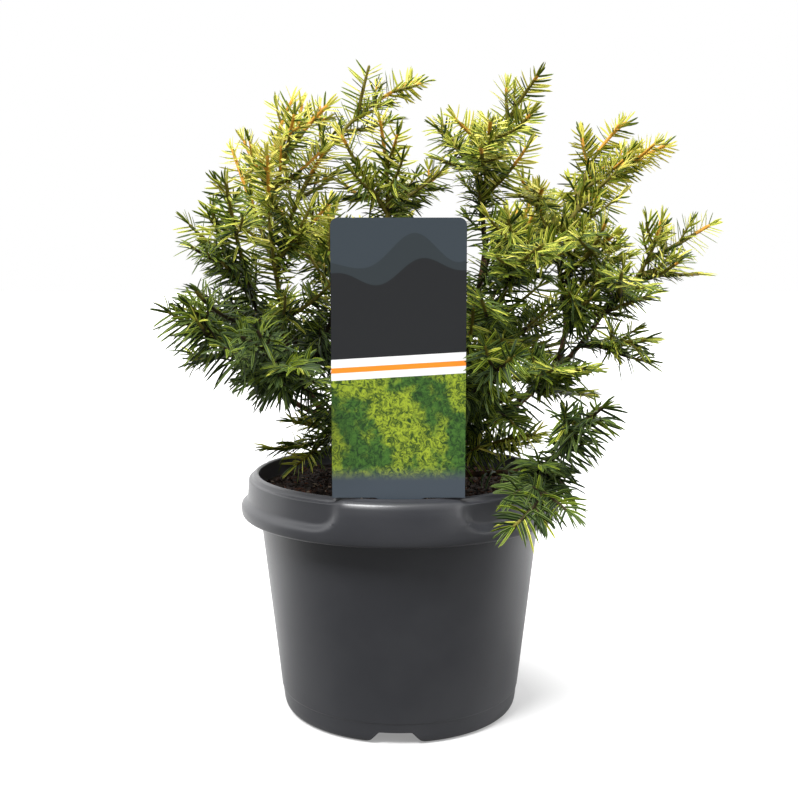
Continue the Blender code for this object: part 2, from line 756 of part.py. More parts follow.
def grip_amount(turn, height):
    """How far a grip is pressed in, from 0 to 1. Its lower corners are round."""
    edge = min(turn - GRIP_FROM, GRIP_TO - turn)
    corner = 1 - min(max(edge / GRIP_CORNER_TURN, 0), 1)
    foot = GRIP_FOOT + GRIP_CORNER_RISE * (1 - math.sqrt(1 - corner * corner))
    return smooth(edge, -GRIP_BLEND, GRIP_BLEND) * smooth(height, foot - 2, foot + 2.5)


def press_grips(obj):
    """Draws the rim in on the left and right, where the hands take it."""
    for vert in obj.data.vertices:
        x, y, z = (value / MM for value in vert.co)
        radius = math.hypot(x, y)
        if radius < LIP_OUTER + 1.2 or z < GRIP_FOOT - 3:
            continue
        amount = grip_amount(abs(math.degrees(math.atan2(x, -y))), z)
        skin = RIM_SKIN if radius < rim_radius(z) - RIM_SKIN / 2 else 0
        inner = min(radius, GRIP_RADIUS - GRIP_TAPER * (z - GRIP_FOOT) - skin)
        wanted = radius + (max(inner, wall_radius(z) + 0.9) - radius) * amount
        drop = GRIP_DROP * amount * smooth(z, 132, 141) * smooth(radius, LIP_OUTER + 1, 88.5)
        vert.co = (x * wanted / radius * MM, y * wanted / radius * MM, (z - drop) * MM)


def channel(name, turn, grow, rise, low, start, end):
    """A bar that runs out under the floor, narrower at its top, its slanted sides carried to low."""
    half, top, height = CHANNEL_WIDTH / 2 + grow, CHANNEL_TOP_WIDTH / 2 + grow, CHANNEL_HEIGHT + rise
    foot = half - (half - top) * low / height
    cos, sin = math.cos(math.radians(turn)), math.sin(math.radians(turn))

    def place(u, v, w):
        return ((w * cos - u * sin) * MM, (w * sin + u * cos) * MM, v * MM)

    return prism(name, [(-foot, low), (foot, low), (top, height), (-top, height)], start, end, place)


def build_pot(parts, cutters):
    pot = show(parts, spin("pot", pot_profile()), make_material("pot_plastic", POT_COLOR, 0.42))
    apply_modifiers(pot)
    press_grips(pot)
    for index, turn in enumerate(CHANNEL_TURNS):
        cover = channel(f"channel_cover_{index}", turn, CHANNEL_SKIN, CHANNEL_SKIN, 0.2,
                        CHANNEL_START - CHANNEL_SKIN, 68.6)
        hide(cutters, cover)
        boolean(pot, "UNION", cover)
    for index, turn in enumerate(CHANNEL_TURNS):
        bar = channel(f"channel_{index}", turn, 0, 0, -1, CHANNEL_START, 80)
        hide(cutters, bar)
        boolean(pot, "DIFFERENCE", bar)
    return pot


# Soil

def soil_profile():
    clear = WALL + 0.35
    return [
        (0, FLOOR + 0.35), (65.3, FLOOR + 0.35), (67.7, 3.4), (wall_radius(8) - clear - 0.3, 8.3),
        (wall_radius(SOIL_HEIGHT) - clear - 0.2, SOIL_HEIGHT - SOIL_EDGE_DROP), (66, SOIL_HEIGHT - 0.2),
        (40, SOIL_HEIGHT), (0, SOIL_HEIGHT),
    ]


def build_soil(parts, cutters):
    soil = show(parts, spin("soil", soil_profile()), make_material("potting_soil", SOIL_COLOR, 0.95))
    for index, turn in enumerate(CHANNEL_TURNS):
        bar = channel(f"soil_groove_{index}", turn, CHANNEL_SKIN + 0.4, CHANNEL_SKIN + 0.7, -1,
                      CHANNEL_START - CHANNEL_SKIN - 0.4, 80)
        hide(cutters, bar)
        boolean(soil, "DIFFERENCE", bar)
    outline = [(-9.8, 127.6), (9.8, 127.6), (9.8, 150), (-9.8, 150)]
    notch = prism("card_notch", outline, CARD_PLANE - 12, CARD_PLANE + 0.7, in_front_plane)
    hide(cutters, notch)
    boolean(soil, "DIFFERENCE", notch)
    return soil


# Card

def card_outline():
    """Round top corners, a straight lower edge, and a pointed foot that stands in the soil."""
    outline = []
    for side, first in ((CARD_RIGHT, 0), (CARD_LEFT, 90)):
        inward = -CARD_CORNER if side == CARD_RIGHT else CARD_CORNER
        for step in range(5):
            turn = math.radians(first + 22.5 * step)
            outline.append((side + inward + CARD_CORNER * math.cos(turn),
                            CARD_HIGH - CARD_CORNER + CARD_CORNER * math.sin(turn)))
    outline += [(CARD_LEFT, CARD_LOW)]
    outline += [(-CARD_FOOT[0][0] - 1.5, CARD_LOW)]
    outline += [(-half, height) for half, height in CARD_FOOT]
    outline += [(half, height) for half, height in reversed(CARD_FOOT)]
    outline += [(CARD_FOOT[0][0] + 1.5, CARD_LOW), (CARD_RIGHT, CARD_LOW)]
    return outline


def build_card(parts):
    near, far = CARD_PLANE - CARD_THICK / 2, CARD_PLANE + CARD_THICK / 2
    card = prism("care_card", card_outline(), near, far, in_front_plane)
    return show(parts, card, make_material("care_card", CARD_COLOR, 0.45))


# Trunk and boughs

def past_foot(ring, start, face, direction):
    """Keeps the second ring beyond the slanted foot."""
    height = (ring - start) @ face
    lift = np.maximum(0, 0.8 * MM - height) / (direction @ face)
    return ring + lift[:, None] * direction


def limb_mesh(name, path, radii, face, sides, spacing, flared):
    """A tapering limb with a flat cut at its foot and its tip."""
    count = max(3, round(path.length / spacing))
    points, tangents, across, up = frame_along(path, np.linspace(0, 1, count + 1))
    mesh = bmesh.new()
    rings = []
    for ring in range(count + 1):
        radius = radii[0] + (radii[1] - radii[0]) * ring / count
        if flared:
            radius += flare(points[ring][2])
        turns = 2 * math.pi * np.arange(sides)[:, None] / sides
        row = points[ring] + radius * MM * (np.cos(turns) * across[ring] + np.sin(turns) * up[ring])
        if ring == 0:
            row = slide_to_foot(row, points[0], face, tangents[0])
        if ring == 1:
            row = past_foot(row, points[0], face, tangents[0])
        rings.append([mesh.verts.new(point) for point in row])
    for first, second in zip(rings, rings[1:]):
        for index in range(sides):
            after = (index + 1) % sides
            mesh.faces.new((first[index], first[after], second[after], second[index]))
    mesh.faces.new(list(reversed(rings[0])))
    mesh.faces.new(rings[-1])
    return finish_mesh(name, mesh)


def build_limbs(parts, limbs):
    bark = make_material("bark", BARK_COLOR, 0.85)
    for name, (path, radii, face) in limbs.items():
        trunk = name == "trunk"
        spacing = (4 if trunk else 11) * MM
        show(parts, limb_mesh(name, path, radii, face, 12 if trunk else 7, spacing, trunk), bark)


# Foliage

def mass_material(mass):
    plain = mass[: -len("_mass")]
    color = GOLD_COLOR if plain in GOLD_MASSES else DARK_COLOR if plain in DARK_MASSES else GREEN_COLOR
    return make_material(f"{plain}_needles", color, 0.55)


def grow_mass(mass, shoots, space, chance):
    """Each stem of the mass as its rings and needle tips."""
    stems = [(path, SHOOT_RADII, face) for path, face in shoots.values()]
    for path, _ in shoots.values():
        stems += [(twig, TWIG_RADII, None) for twig in side_twigs(mass, path, space, chance)]
    stems = [stem_rings(path, radii, face) for path, radii, face in stems]
    thicket = Thicket(stems)
    return [
        (stem, grow_needles(mass, owner, stem, space, thicket, chance)) for owner, stem in enumerate(stems)
    ]


def build_mass(parts, mass, grown):
    """The stems joined into one body."""
    joined = bpy.data.collections.new(f"{mass}_stems")
    bpy.context.scene.collection.children.link(joined)
    body = show(parts, stem_mesh(mass, *grown[0]), mass_material(mass))
    for index, stem in enumerate(grown[1:]):
        joined.objects.link(stem_mesh(f"{mass}_stem_{index}", *stem))
    union = body.modifiers.new("join", "BOOLEAN")
    union.operation = "UNION"
    union.operand_type = "COLLECTION"
    union.collection = joined
    union.solver = "EXACT"
    apply_modifiers(body)
    for obj in list(joined.objects):
        data = obj.data
        bpy.data.objects.remove(obj)
        bpy.data.meshes.remove(data)
    bpy.data.collections.remove(joined)
    keep_largest(body)
    return body


def main():
    for obj in list(bpy.data.objects):
        bpy.data.objects.remove(obj)
    parts = bpy.data.collections.new("potted_yew")
    cutters = bpy.data.collections.new("cutters")
    cutters.hide_render = True
    for collection in (parts, cutters):
        bpy.context.scene.collection.children.link(collection)
    build_pot(parts, cutters)
    build_soil(parts, cutters)
    build_card(parts)
    limbs = grow_limbs()
    build_limbs(parts, limbs)
    masses = grow_shoots(limbs)
    space = Space(limbs, masses)
    for index, (mass, shoots) in enumerate(masses.items()):
        chance = random.Random(SEED * 1000 + index)
        build_mass(parts, mass, grow_mass(mass, shoots, space, chance))


main()
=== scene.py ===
"""The potted golden yew dressed for a picture: pot, soil, card, bark, and the twigs and needles that
grow on from the boughs by the part's own seeded rule, carried to finer twigs.

Metres, Z up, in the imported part's frame. The card faces -Y.
"""

import math
import random

import bmesh
import bpy
import numpy as np
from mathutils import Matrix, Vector, noise


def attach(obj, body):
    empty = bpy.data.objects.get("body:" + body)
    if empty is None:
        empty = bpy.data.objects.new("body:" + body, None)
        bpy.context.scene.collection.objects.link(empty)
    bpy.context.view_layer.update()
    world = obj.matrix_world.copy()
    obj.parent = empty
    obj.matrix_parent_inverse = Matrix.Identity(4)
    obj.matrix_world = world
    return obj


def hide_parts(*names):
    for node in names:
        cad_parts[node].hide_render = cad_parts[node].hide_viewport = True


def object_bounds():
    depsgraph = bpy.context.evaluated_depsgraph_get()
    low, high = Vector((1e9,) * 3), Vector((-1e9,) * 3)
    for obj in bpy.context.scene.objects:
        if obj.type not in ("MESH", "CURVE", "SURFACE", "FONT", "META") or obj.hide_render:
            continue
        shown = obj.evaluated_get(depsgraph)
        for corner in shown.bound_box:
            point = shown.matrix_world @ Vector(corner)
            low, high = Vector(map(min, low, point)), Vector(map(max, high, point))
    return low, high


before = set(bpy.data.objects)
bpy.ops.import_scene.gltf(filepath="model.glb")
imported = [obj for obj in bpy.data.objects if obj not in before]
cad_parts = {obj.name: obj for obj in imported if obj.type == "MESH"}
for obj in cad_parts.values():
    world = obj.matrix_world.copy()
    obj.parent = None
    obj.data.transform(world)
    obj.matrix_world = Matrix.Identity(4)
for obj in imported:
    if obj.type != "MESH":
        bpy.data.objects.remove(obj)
CAD_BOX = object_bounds()

MM = 0.001
GAP = 0.3 * MM
SIDE_GAP = 0.4 * MM
SEED = 7

# Camera: place, pitch below level, and focal length as a share of the picture's longer side
CAMERA_PLACE = (-0.0005, -0.65, 0.2672)
CAMERA_PITCH = 7.22
CAMERA_FOCAL = 1093.6 / 800
SENSOR_WIDTH = 36

# Pot, in mm: the wall is a cone with a rim that hangs outside it.
WALL_FOOT_RADIUS = 70.2
WALL_SLOPE = 0.115
WALL = 1.0
FLOOR = 1.5
LIP_HEIGHT = 143.0
LIP_INNER = 84.5
LIP_OUTER = 86.1
MOUTH_RADIUS = 83.0
RIM_RADIUS = 95.0
RIM_FOOT = 118.2
RIM_SKIN = 1.4
STEP_HEIGHT = 12.4
STEP_DEPTH = 0.4
RIM_PROFILE = (
    (93.4, RIM_FOOT), (94.6, 119.2), (RIM_RADIUS, 121.6), (RIM_RADIUS - 0.1, 125.5), (94.4, 129.5),
    (93.4, 135.0), (92.2, 139.0), (91.0, 141.0), (89.4, 141.9), (87.6, 142.2),
)
GRIP_FROM, GRIP_TO = 22, 110
GRIP_FOOT = 126.0
GRIP_RADIUS, GRIP_TAPER = 91.3, 0.06
GRIP_DROP, DROP_HEIGHTS, DROP_RADIUS = 1.8, (132, 141), 88.5
GRIP_WALL_ROOM = 0.9
GRIP_BLEND, GRIP_FADE = 2.5, (2, 2.5)
GRIP_CORNER_TURN, GRIP_CORNER_RISE = 8.0, 8.0
CHANNEL_WIDTH, CHANNEL_TOP_WIDTH = 29.0, 19.6
CHANNEL_HEIGHT = 7.4
CHANNEL_START, CHANNEL_END = 25.0, 80
CHANNEL_TURNS = (-92, 28, 148)
POT_SPOKES, SHARP_ANGLE = 240, 38
CORNER_REACH, RIM_EDGE, WALL_EDGE = 1.6, 1.2, 12

# Soil, in mm
SOIL_HEIGHT = 134.0
SOIL_EDGE_DROP = 1.0

# Card, in mm
CARD_LEFT, CARD_RIGHT = -35.8, 34.4
CARD_PLANE = -83.0
CARD_LOW, CARD_HIGH = 143.3, 289.5
CARD_THICK = 0.6
CARD_CORNER, CORNER_STEPS, CARD_BEVEL = 4.0, 12, 0.12
CARD_FOOT, FOOT_ROUND = ((11.5, 142.6), (9.0, 136.0), (3.0, 128.2)), 1.5

# Trunk, in mm and degrees: the azimuth and elevation turn evenly from the first value to the second.
TRUNK_FOOT = (1.0, 0.5)
TRUNK_AZIMUTH, TRUNK_ELEVATION = (20, 60), (86, 80)
TRUNK_LENGTH = 32
TRUNK_RADII = (6.4, 4.2)
ROOT_FLARE, FLARE_HEIGHT = 3.2, 5.0

# Boughs: the limb each one leaves and how far along it, azimuths, elevations, length, radii.
LIMBS = {
    "left_bough": ("trunk", 0.45, (162, 223), (19, 77), 106, (2.9, 1.6)),
    "low_left_bough": ("left_bough", 0.45, (-148, -121), (25, 37), 68, (1.8, 1.2)),
    "centre_left_bough": ("trunk", 1.0, (-170, -105), (80, 82), 112, (3.0, 1.6)),
    "centre_right_bough": ("trunk", 0.75, (-10, -10), (56, 84), 126, (2.6, 1.6)),
    "right_bough": ("trunk", 0.35, (38, -54), (15, 53), 120, (3.0, 2.0)),
    "right_up_bough": ("right_bough", 1.0, (46, 96), (56, 65), 31, (1.6, 1.4)),
    "right_out_bough": ("right_bough", 0.8, (-18, -48), (42, 55), 61, (1.6, 1.4)),
    "low_right_bough": ("trunk", 0.24, (-38, -30), (2, 12), 78, (2.0, 1.4)),
    "back_left_bough": ("trunk", 0.8, (140, 118), (38, 66), 100, (2.5, 1.5)),
    "back_bough": ("trunk", 0.62, (84, 96), (40, 62), 104, (2.5, 1.5)),
    "back_right_bough": ("trunk", 0.88, (48, 34), (44, 56), 112, (2.5, 1.5)),
}

# Foliage masses: each shoot with the stem that it leaves and how far along, azimuths, elevations, length.
MASSES = {
    "left_top": {
        "leader": ("left_bough", 1.0, (94, 24), (130, 60), 141),
        "second": ("leader", 0.55, (-24, -9), (77, 39), 66),
        "outer": ("leader", 0.32, (131, 129), (57, 58), 81),
        "arch": ("leader", 0.28, (28, 37), (81, 20), 158),
        "inner": ("leader", 0.08, (4, 18), (24, 52), 42),
    },
    "left_outer": {
        "leader": ("left_bough", 0.86, (-176, -85), (60, 47), 107),
        "inner": ("leader", 0.33, (-103, -90), (50, 46), 92),
        "low": ("leader", 0.22, (-122, -111), (-1, 36), 72),
    },
    "low_left": {
        "leader": ("low_left_bough", 1.0, (-142, -160), (39, 31), 56),
        "upper": ("leader", 0.36, (-112, -129), (44, 42), 33),
        "under": ("leader", 0.3, (120, 185), (-36, 25), 30),
    },
    "left_front": {
        "leader": ("low_left_bough", 0.62, (-81, -99), (17, 32), 97),
        "star": ("leader", 0.27, (-81, -78), (14, 12), 53),
    },
    "low_left_twig": {
        "leader": ("left_bough", 0.28, (167, 169), (20, 7), 37),
        "soil": ("leader", 0.12, (-171, -225), (-19, -6), 52),
    },
    "centre_left": {
        "leader": ("centre_left_bough", 1.0, (-134, -120), (101, 70), 71),
        "lean": ("leader", 0.25, (-165, -160), (54, 62), 51),
        "left_low": ("lean", 0.24, (103, 137), (-9, 33), 42),
        "right_dark": ("leader", 0.28, (49, 70), (24, 18), 66),
    },
    "centre_right": {
        "leader": ("centre_right_bough", 1.0, (40, -49), (102, 42), 104),
        "left": ("leader", 0.33, (141, 132), (51, 48), 50),
        "star": ("leader", 0.39, (-100, -96), (12, 12), 53),
        "yellow": ("leader", 0.49, (-99, -92), (18, 17), 50),
    },
    "front_upright": {
        "leader": ("right_bough", 0.36, (-31, -108), (82, 31), 156),
        "side": ("leader", 0.64, (-85, -74), (24, 13), 69),
        "left": ("leader", 0.37, (-94, -101), (20, 19), 87),
    },
    "front_spray": {
        "leader": ("right_bough", 0.22, (-91, -55), (31, 31), 124),
        "under": ("leader", 0.38, (-30, -72), (21, -22), 48),
    },
    "right_star": {
        "leader": ("right_bough", 0.8, (-93, -88), (15, 11), 83),
        "side": ("leader", 0.33, (-68, -77), (8, 18), 39),
    },
    "right_mid": {
        "leader": ("right_up_bough", 1.0, (139, 217), (86, 52), 84),
        "far": ("leader", 0.42, (50, -24), (59, 24), 98),
        "up": ("far", 0.33, (70, 2), (68, 40), 68),
        "yellow": ("leader", 0.8, (-85, -92), (11, 13), 30),
        "short": ("leader", 0.24, (-60, -60), (27, 27), 52),
        "short_up": ("short", 0.47, (-79, -86), (20, 34), 41),
        "outer": ("leader", 0.08, (-4, -30), (34, 62), 46),
    },
    "right_far": {
        "leader": ("right_out_bough", 1.0, (-7, -28), (38, 80), 62),
        "far": ("leader", 0.61, (19, 18), (26, 28), 46),
        "flat": ("leader", 0.47, (-32, -33), (-1, 3), 35),
        "star": ("leader", 0.21, (-104, -98), (16, 15), 54),
        "back": ("leader", 0.12, (87, 75), (13, 15), 52),
    },
    "right_low": {
        "leader": ("right_out_bough", 0.6, (-60, -58), (8, 6), 54),
        "hang": ("leader", 0.29, (-55, -56), (-6, 11), 19),
    },
    "low_right": {
        "leader": ("low_right_bough", 1.0, (-50, -67), (14, 67), 53),
        "far": ("leader", 0.59, (-63, -55), (45, 34), 42),
        "hang": ("leader", 0.09, (-70, -145), (-10, -27), 63),
        "low": ("leader", 0.18, (-25, -48), (-21, -42), 18),
    },
    "back_left_top": {
        "leader": ("back_left_bough", 1.0, (118, 84), (66, 59), 77),
        "outer": ("leader", 0.28, (150, 141), (40, 50), 61),
        "back": ("leader", 0.39, (95, 99), (35, 44), 53),
    },
    "back_left_low": {
        "leader": ("back_left_bough", 0.55, (160, 149), (22, 38), 83),
        "back": ("leader", 0.28, (112, 105), (20, 28), 51),
        "outer": ("leader", 0.44, (178, 171), (20, 40), 43),
    },
    "back_top": {
        "leader": ("back_bough", 1.0, (96, 86), (66, 62), 74),
        "right": ("leader", 0.22, (40, 53), (40, 44), 50),
        "left": ("leader", 0.34, (132, 120), (38, 50), 48),
    },
    "back_low": {
        "leader": ("back_bough", 0.45, (100, 93), (16, 32), 71),
        "right": ("leader", 0.25, (62, 69), (14, 22), 47),
        "low": ("leader", 0.16, (118, 113), (-6, 7), 47),
    },
    "back_right_top": {
        "leader": ("back_right_bough", 1.0, (34, 59), (56, 63), 69),
        "out": ("leader", 0.28, (20, 30), (30, 39), 57),
        "back": ("leader", 0.36, (76, 81), (36, 41), 53),
    },
    "back_right_low": {
        "leader": ("back_right_bough", 0.52, (22, 33), (18, 32), 87),
        "back": ("leader", 0.31, (58, 65), (18, 28), 55),
        "low": ("leader", 0.18, (4, 11), (2, 14), 53),
    },
    "left_back": {
        "leader": ("left_bough", 0.62, (150, 161), (36, 40), 86),
        "back": ("leader", 0.33, (118, 113), (20, 32), 50),
    },
    "back_soil": {
        "leader": ("trunk", 0.3, (120, 127), (14, 10), 75),
        "right": ("leader", 0.34, (84, 79), (10, 13), 41),
    },
    "back_right_soil": {
        "leader": ("trunk", 0.12, (58, 42), (14, 14), 75),
        "back": ("leader", 0.39, (74, 79), (10, 15), 39),
    },
    "left_inner": {
        "leader": ("left_bough", 0.72, (50, 95), (38, 68), 60),
        "low": ("leader", 0.3, (14, -6), (8, 20), 34),
        "front": ("leader", 0.18, (-55, -30), (48, 72), 48),
    },
    "centre": {
        "leader": ("centre_right_bough", 0.5, (-128, -150), (22, 56), 56),
        "side": ("leader", 0.4, (-88, -80), (22, 30), 34),
        "up": ("leader", 0.3, (-12, -4), (46, 78), 60),
    },
    "right_inner": {
        "leader": ("right_up_bough", 0.45, (-72, -50), (40, 58), 50),
        "side": ("leader", 0.3, (-100, -110), (24, 30), 36),
        "out": ("leader", 0.25, (-36, -20), (16, 24), 48),
    },
    "low_inner": {
        "leader": ("low_right_bough", 0.3, (-14, -34), (40, 8), 62),
        "back": ("leader", 0.3, (12, 4), (20, 8), 34),
    },
    "front_inner_left": {
        "leader": ("trunk", 0.5, (-118, -112), (22, 66), 92),
        "side": ("leader", 0.3, (-170, -150), (24, 50), 46),
        "right": ("leader", 0.42, (-52, -60), (30, 56), 40),
    },
    "front_inner_right": {
        "leader": ("centre_right_bough", 0.3, (-66, -84), (24, 72), 74),
        "side": ("leader", 0.35, (-20, -40), (24, 50), 34),
    },
    "back_centre": {
        "leader": ("centre_right_bough", 0.42, (84, 100), (32, 78), 82),
        "back": ("leader", 0.34, (80, 84), (18, 44), 46),
        "left": ("leader", 0.5, (140, 120), (34, 62), 38),
    },
    "back_inner": {
        "leader": ("centre_left_bough", 0.44, (112, 96), (26, 70), 66),
        "left": ("leader", 0.36, (150, 130), (20, 48), 36),
    },
}

# The seeded rule of the twigs. Angles are in degrees, and a pair is a draw's lowest and highest value.
GOLDEN_TURN = 137.5
PATH_STEP = 3 * MM
TWIG_FIRST, TWIG_SPACING, TWIG_GAPS = 13 * MM, 15.5 * MM, (0.85, 1.2)
TWIG_ANGLE, TWIG_SWAY = 50, 8
TWIG_TILTS = (-18, 38)
TWIG_PULL, TWIG_LIFT = 0.45, 0.15
TWIG_SHARE, TWIG_MARGIN, TWIG_REACHES = 0.5, 9 * MM, (0.75, 1.15)
TWIG_LONGEST, TWIG_SHORTEST = 40 * MM, 16 * MM
UPRIGHT = 0.72
FINE_FIRST, FINE_SPACING, FINE_GAPS = 9 * MM, 14 * MM, (0.8, 1.4)
FINE_SWAY, FINE_PULL, FINE_LIFT = 10, 0.5, 0.2
FINE_SHARE, FINE_ADDED, FINE_REACHES = 0.3, 6 * MM, (0.6, 1.15)
FINE_LONGEST, FINE_SHORTEST, FINE_MARGIN = 19 * MM, 8 * MM, 8 * MM
FINE_CARRIER = 30 * MM

# Room round the twigs, and round the needles
SPACE_STEP = 2.5 * MM
SPACE_MARGIN, NEEDLE_MARGIN = 3 * MM, 2 * MM
LIMB_ROOM = 1.9 * MM
POT_ROOM, SOIL_ROOM, CARD_ROOM = 1.5, 1.8, 2.2
CROWN_TOP = 381.0
NEEDLE_ROOM, NEEDLE_CARD_ROOM, NEEDLE_SIDE_ROOM, BOX_ROOM = 1, 1.5, 2, 5


# Directions and paths

def heading(azimuth, elevation):
    azimuth, elevation = np.radians(azimuth), np.radians(elevation)
    flat = np.cos(elevation)
    return np.stack([flat * np.cos(azimuth), flat * np.sin(azimuth), np.sin(elevation)], -1)


def unit(vector):
    return vector / np.linalg.norm(vector, axis=-1, keepdims=True)


class Path:
    """A smooth line through evenly spaced points."""

    LOOK = 0.03
    CUT_STEPS = 8

    def __init__(self, start, headings, length):
        self.length = length
        steps = np.cumsum(headings, 0) * length / len(headings)
        self.points = np.vstack([start, start + steps])

    def at(self, share):
        share = np.atleast_1d(share)
        place = np.clip(share, 0, 1) * (len(self.points) - 1)
        low = np.minimum(place.astype(int), len(self.points) - 2)
        part = (place - low)[:, None]
        found = self.points[low] * (1 - part) + self.points[low + 1] * part
        return found if len(share) > 1 else found[0]

    def direction(self, share):
        share = min(max(share, self.LOOK), 1 - self.LOOK)
        return unit(self.at(share + self.LOOK) - self.at(share - self.LOOK))

    def spread(self, step):
        return self.at(np.linspace(0, 1, max(3, math.ceil(self.length / step) + 1)))

    def cut(self, length):
        points = self.at(np.linspace(0, length / self.length, self.CUT_STEPS + 1))
        return Path(points[0], np.diff(points, axis=0) * self.CUT_STEPS / length, length)


def step_shares(length):
    """The middles of a new path's steps, as shares of its length."""
    steps = max(6, round(length / PATH_STEP))
    return (np.arange(steps) + 0.5) / steps


def turning(start, azimuths, elevations, length):
    """A path whose azimuth and elevation change evenly along it."""
    share = step_shares(length)
    azimuth = azimuths[0] + (azimuths[1] - azimuths[0]) * share
    elevation = elevations[0] + (elevations[1] - elevations[0]) * share
    return Path(start, heading(azimuth, elevation), length)


def bending(start, first, last, length):
    """A path that turns from one direction to another."""
    share = step_shares(length)[:, None]
    return Path(start, unit(first * (1 - share) + last * share), length)


def flare(height):
    """How much wider than its taper the trunk is at a height in metres."""
    return ROOT_FLARE * np.exp(-(height / MM - SOIL_HEIGHT) / FLARE_HEIGHT)


def limb_radius(path, radii, share):
    """A limb's radius in mm part way along it, with the trunk's flare."""
    radius = radii[0] + (radii[1] - radii[0]) * share
    return radius + flare(path.at(share)[2]) if radii is TRUNK_RADII else radius


def seat(carrier, radii, share, direction):
    """Where a stem starts, clear of its carrier's tip or side."""
    if share >= 1:
        return carrier.points[-1] + carrier.direction(1) * GAP
    along = carrier.direction(share)
    face = unit(direction - along * (direction @ along))
    return carrier.at(share) + face * (limb_radius(carrier, radii, share) * MM + SIDE_GAP)


def grow_limbs():
    """Each limb's path and radii in mm, from the trunk out."""
    foot = np.array([TRUNK_FOOT[0] * MM, TRUNK_FOOT[1] * MM, SOIL_HEIGHT * MM + GAP])
    limbs = {"trunk": (turning(foot, TRUNK_AZIMUTH, TRUNK_ELEVATION, TRUNK_LENGTH * MM), TRUNK_RADII)}
    for name, (carrier, share, azimuths, elevations, length, radii) in LIMBS.items():
        start = seat(*limbs[carrier], share, heading(azimuths[0], elevations[0]))
        limbs[name] = (turning(start, azimuths, elevations, length * MM), radii)
    return limbs


def grow_shoots(limbs):
    """The named shoots of each mass, as paths."""
    masses = {}
    for mass, rows in MASSES.items():
        shoots = masses[mass] = {}
        for name, (carrier, share, azimuths, elevations, length) in rows.items():
            if carrier in shoots:
                start = shoots[carrier].at(share)
            else:
                start = seat(*limbs[carrier], share, heading(azimuths[0], elevations[0]))
            shoots[name] = turning(start, azimuths, elevations, length * MM)
    return masses


# Room for twigs and needles

def nearest(points, others):
    return np.linalg.norm(points[:, None] - others[None], axis=2).min(1)


def in_mm(points):
    return np.moveaxis(points, -1, 0) / MM


def out_of_pot(points, room, above):
    """Whether points are clear of the pot by a room in mm, or in its mouth and that far above the soil."""
    x, y, z = in_mm(points)
    radial = np.hypot(x, y)
    in_mouth = (radial < MOUTH_RADIUS) & (z > SOIL_HEIGHT + above)
    return (z > LIP_HEIGHT + room) | (radial > RIM_RADIUS + room) | in_mouth


def by_card(points, room, reach):
    """Whether points lie within a room of the card's outline and a reach of its plane, in mm."""
    x, y, z = in_mm(points)
    in_outline = (x > CARD_LEFT - room) & (x < CARD_RIGHT + room) & (z < CARD_HIGH + room)
    return in_outline & (abs(y - CARD_PLANE) < reach)


class Space:
    """Tells whether points lie in a mass's own space, clear of limbs, card, pot and soil."""

    def __init__(self, limbs, masses):
        rows = [path.spread(SPACE_STEP) for path, _ in limbs.values()]
        radii = [np.linspace(*ends, len(row)) for row, (_, ends) in zip(rows, limbs.values())]
        radii[0] = radii[0] + flare(rows[0][:, 2])
        self.limb_points = np.vstack(rows)
        self.limb_radii = np.concatenate(radii) * MM
        self.shoots = {
            mass: np.vstack([path.spread(SPACE_STEP) for path in shoots.values()])
            for mass, shoots in masses.items()
        }

    def clear(self, mass, points, margin):
        good = out_of_pot(points, POT_ROOM, SOIL_ROOM)
        good &= ~by_card(points, CARD_ROOM, CARD_ROOM + CARD_THICK / 2) & (in_mm(points)[2] < CROWN_TOP)
        limb = np.linalg.norm(points[:, None] - self.limb_points[None], axis=2) - self.limb_radii
        good &= limb.min(1) > LIMB_ROOM
        others = np.vstack([row for name, row in self.shoots.items() if name != mass])
        return good & (nearest(points, self.shoots[mass]) + margin < nearest(points, others))


def leaving(path, where, spread, angle, pull, lift, reach):
    """A twig that leaves a path at a turn round it and an angle from it, then bends along and up."""
    along = path.direction(where / path.length)
    level = np.cross(along, [0, 0, 1])
    level = unit(level) if np.linalg.norm(level) > 0.1 else np.array([1.0, 0, 0])
    spread, angle = math.radians(spread), math.radians(angle)
    out = level * math.cos(spread) + np.cross(level, along) * math.sin(spread)
    first = along * math.cos(angle) + out * math.sin(angle)
    last = unit(first + along * pull + np.array([0, 0, lift]))
    return bending(path.at(where / path.length), first, last, reach)


def side_twigs(mass, path, space, chance):
    """Twigs that leave a shoot: in a spiral on an upright one, to both sides on a level one."""
    found = []
    upright = abs(path.direction(0.5)[2]) > UPRIGHT
    where, turn = TWIG_FIRST, chance.uniform(0, 360)
    while where < path.length - TWIG_MARGIN:
        turn += GOLDEN_TURN if upright else 180
        spread = turn if upright else turn - turn % 180 + chance.uniform(*TWIG_TILTS)
        angle = TWIG_ANGLE + chance.uniform(-TWIG_SWAY, TWIG_SWAY)
        reach = (TWIG_SHARE * (path.length - where) + TWIG_MARGIN) * chance.uniform(*TWIG_REACHES)
        reach = min(reach, TWIG_LONGEST)
        twig = leaving(path, where, spread, angle, TWIG_PULL, TWIG_LIFT, reach)
        points = twig.spread(2 * MM)
        good = space.clear(mass, points[2:], SPACE_MARGIN)
        if not good.all():
            reach = reach * (int(np.argmin(good)) + 1) / (len(points) - 1)
            twig = twig.cut(reach)
        if reach >= TWIG_SHORTEST:
            found.append(twig)
        where += TWIG_SPACING * chance.uniform(*TWIG_GAPS)
    return found


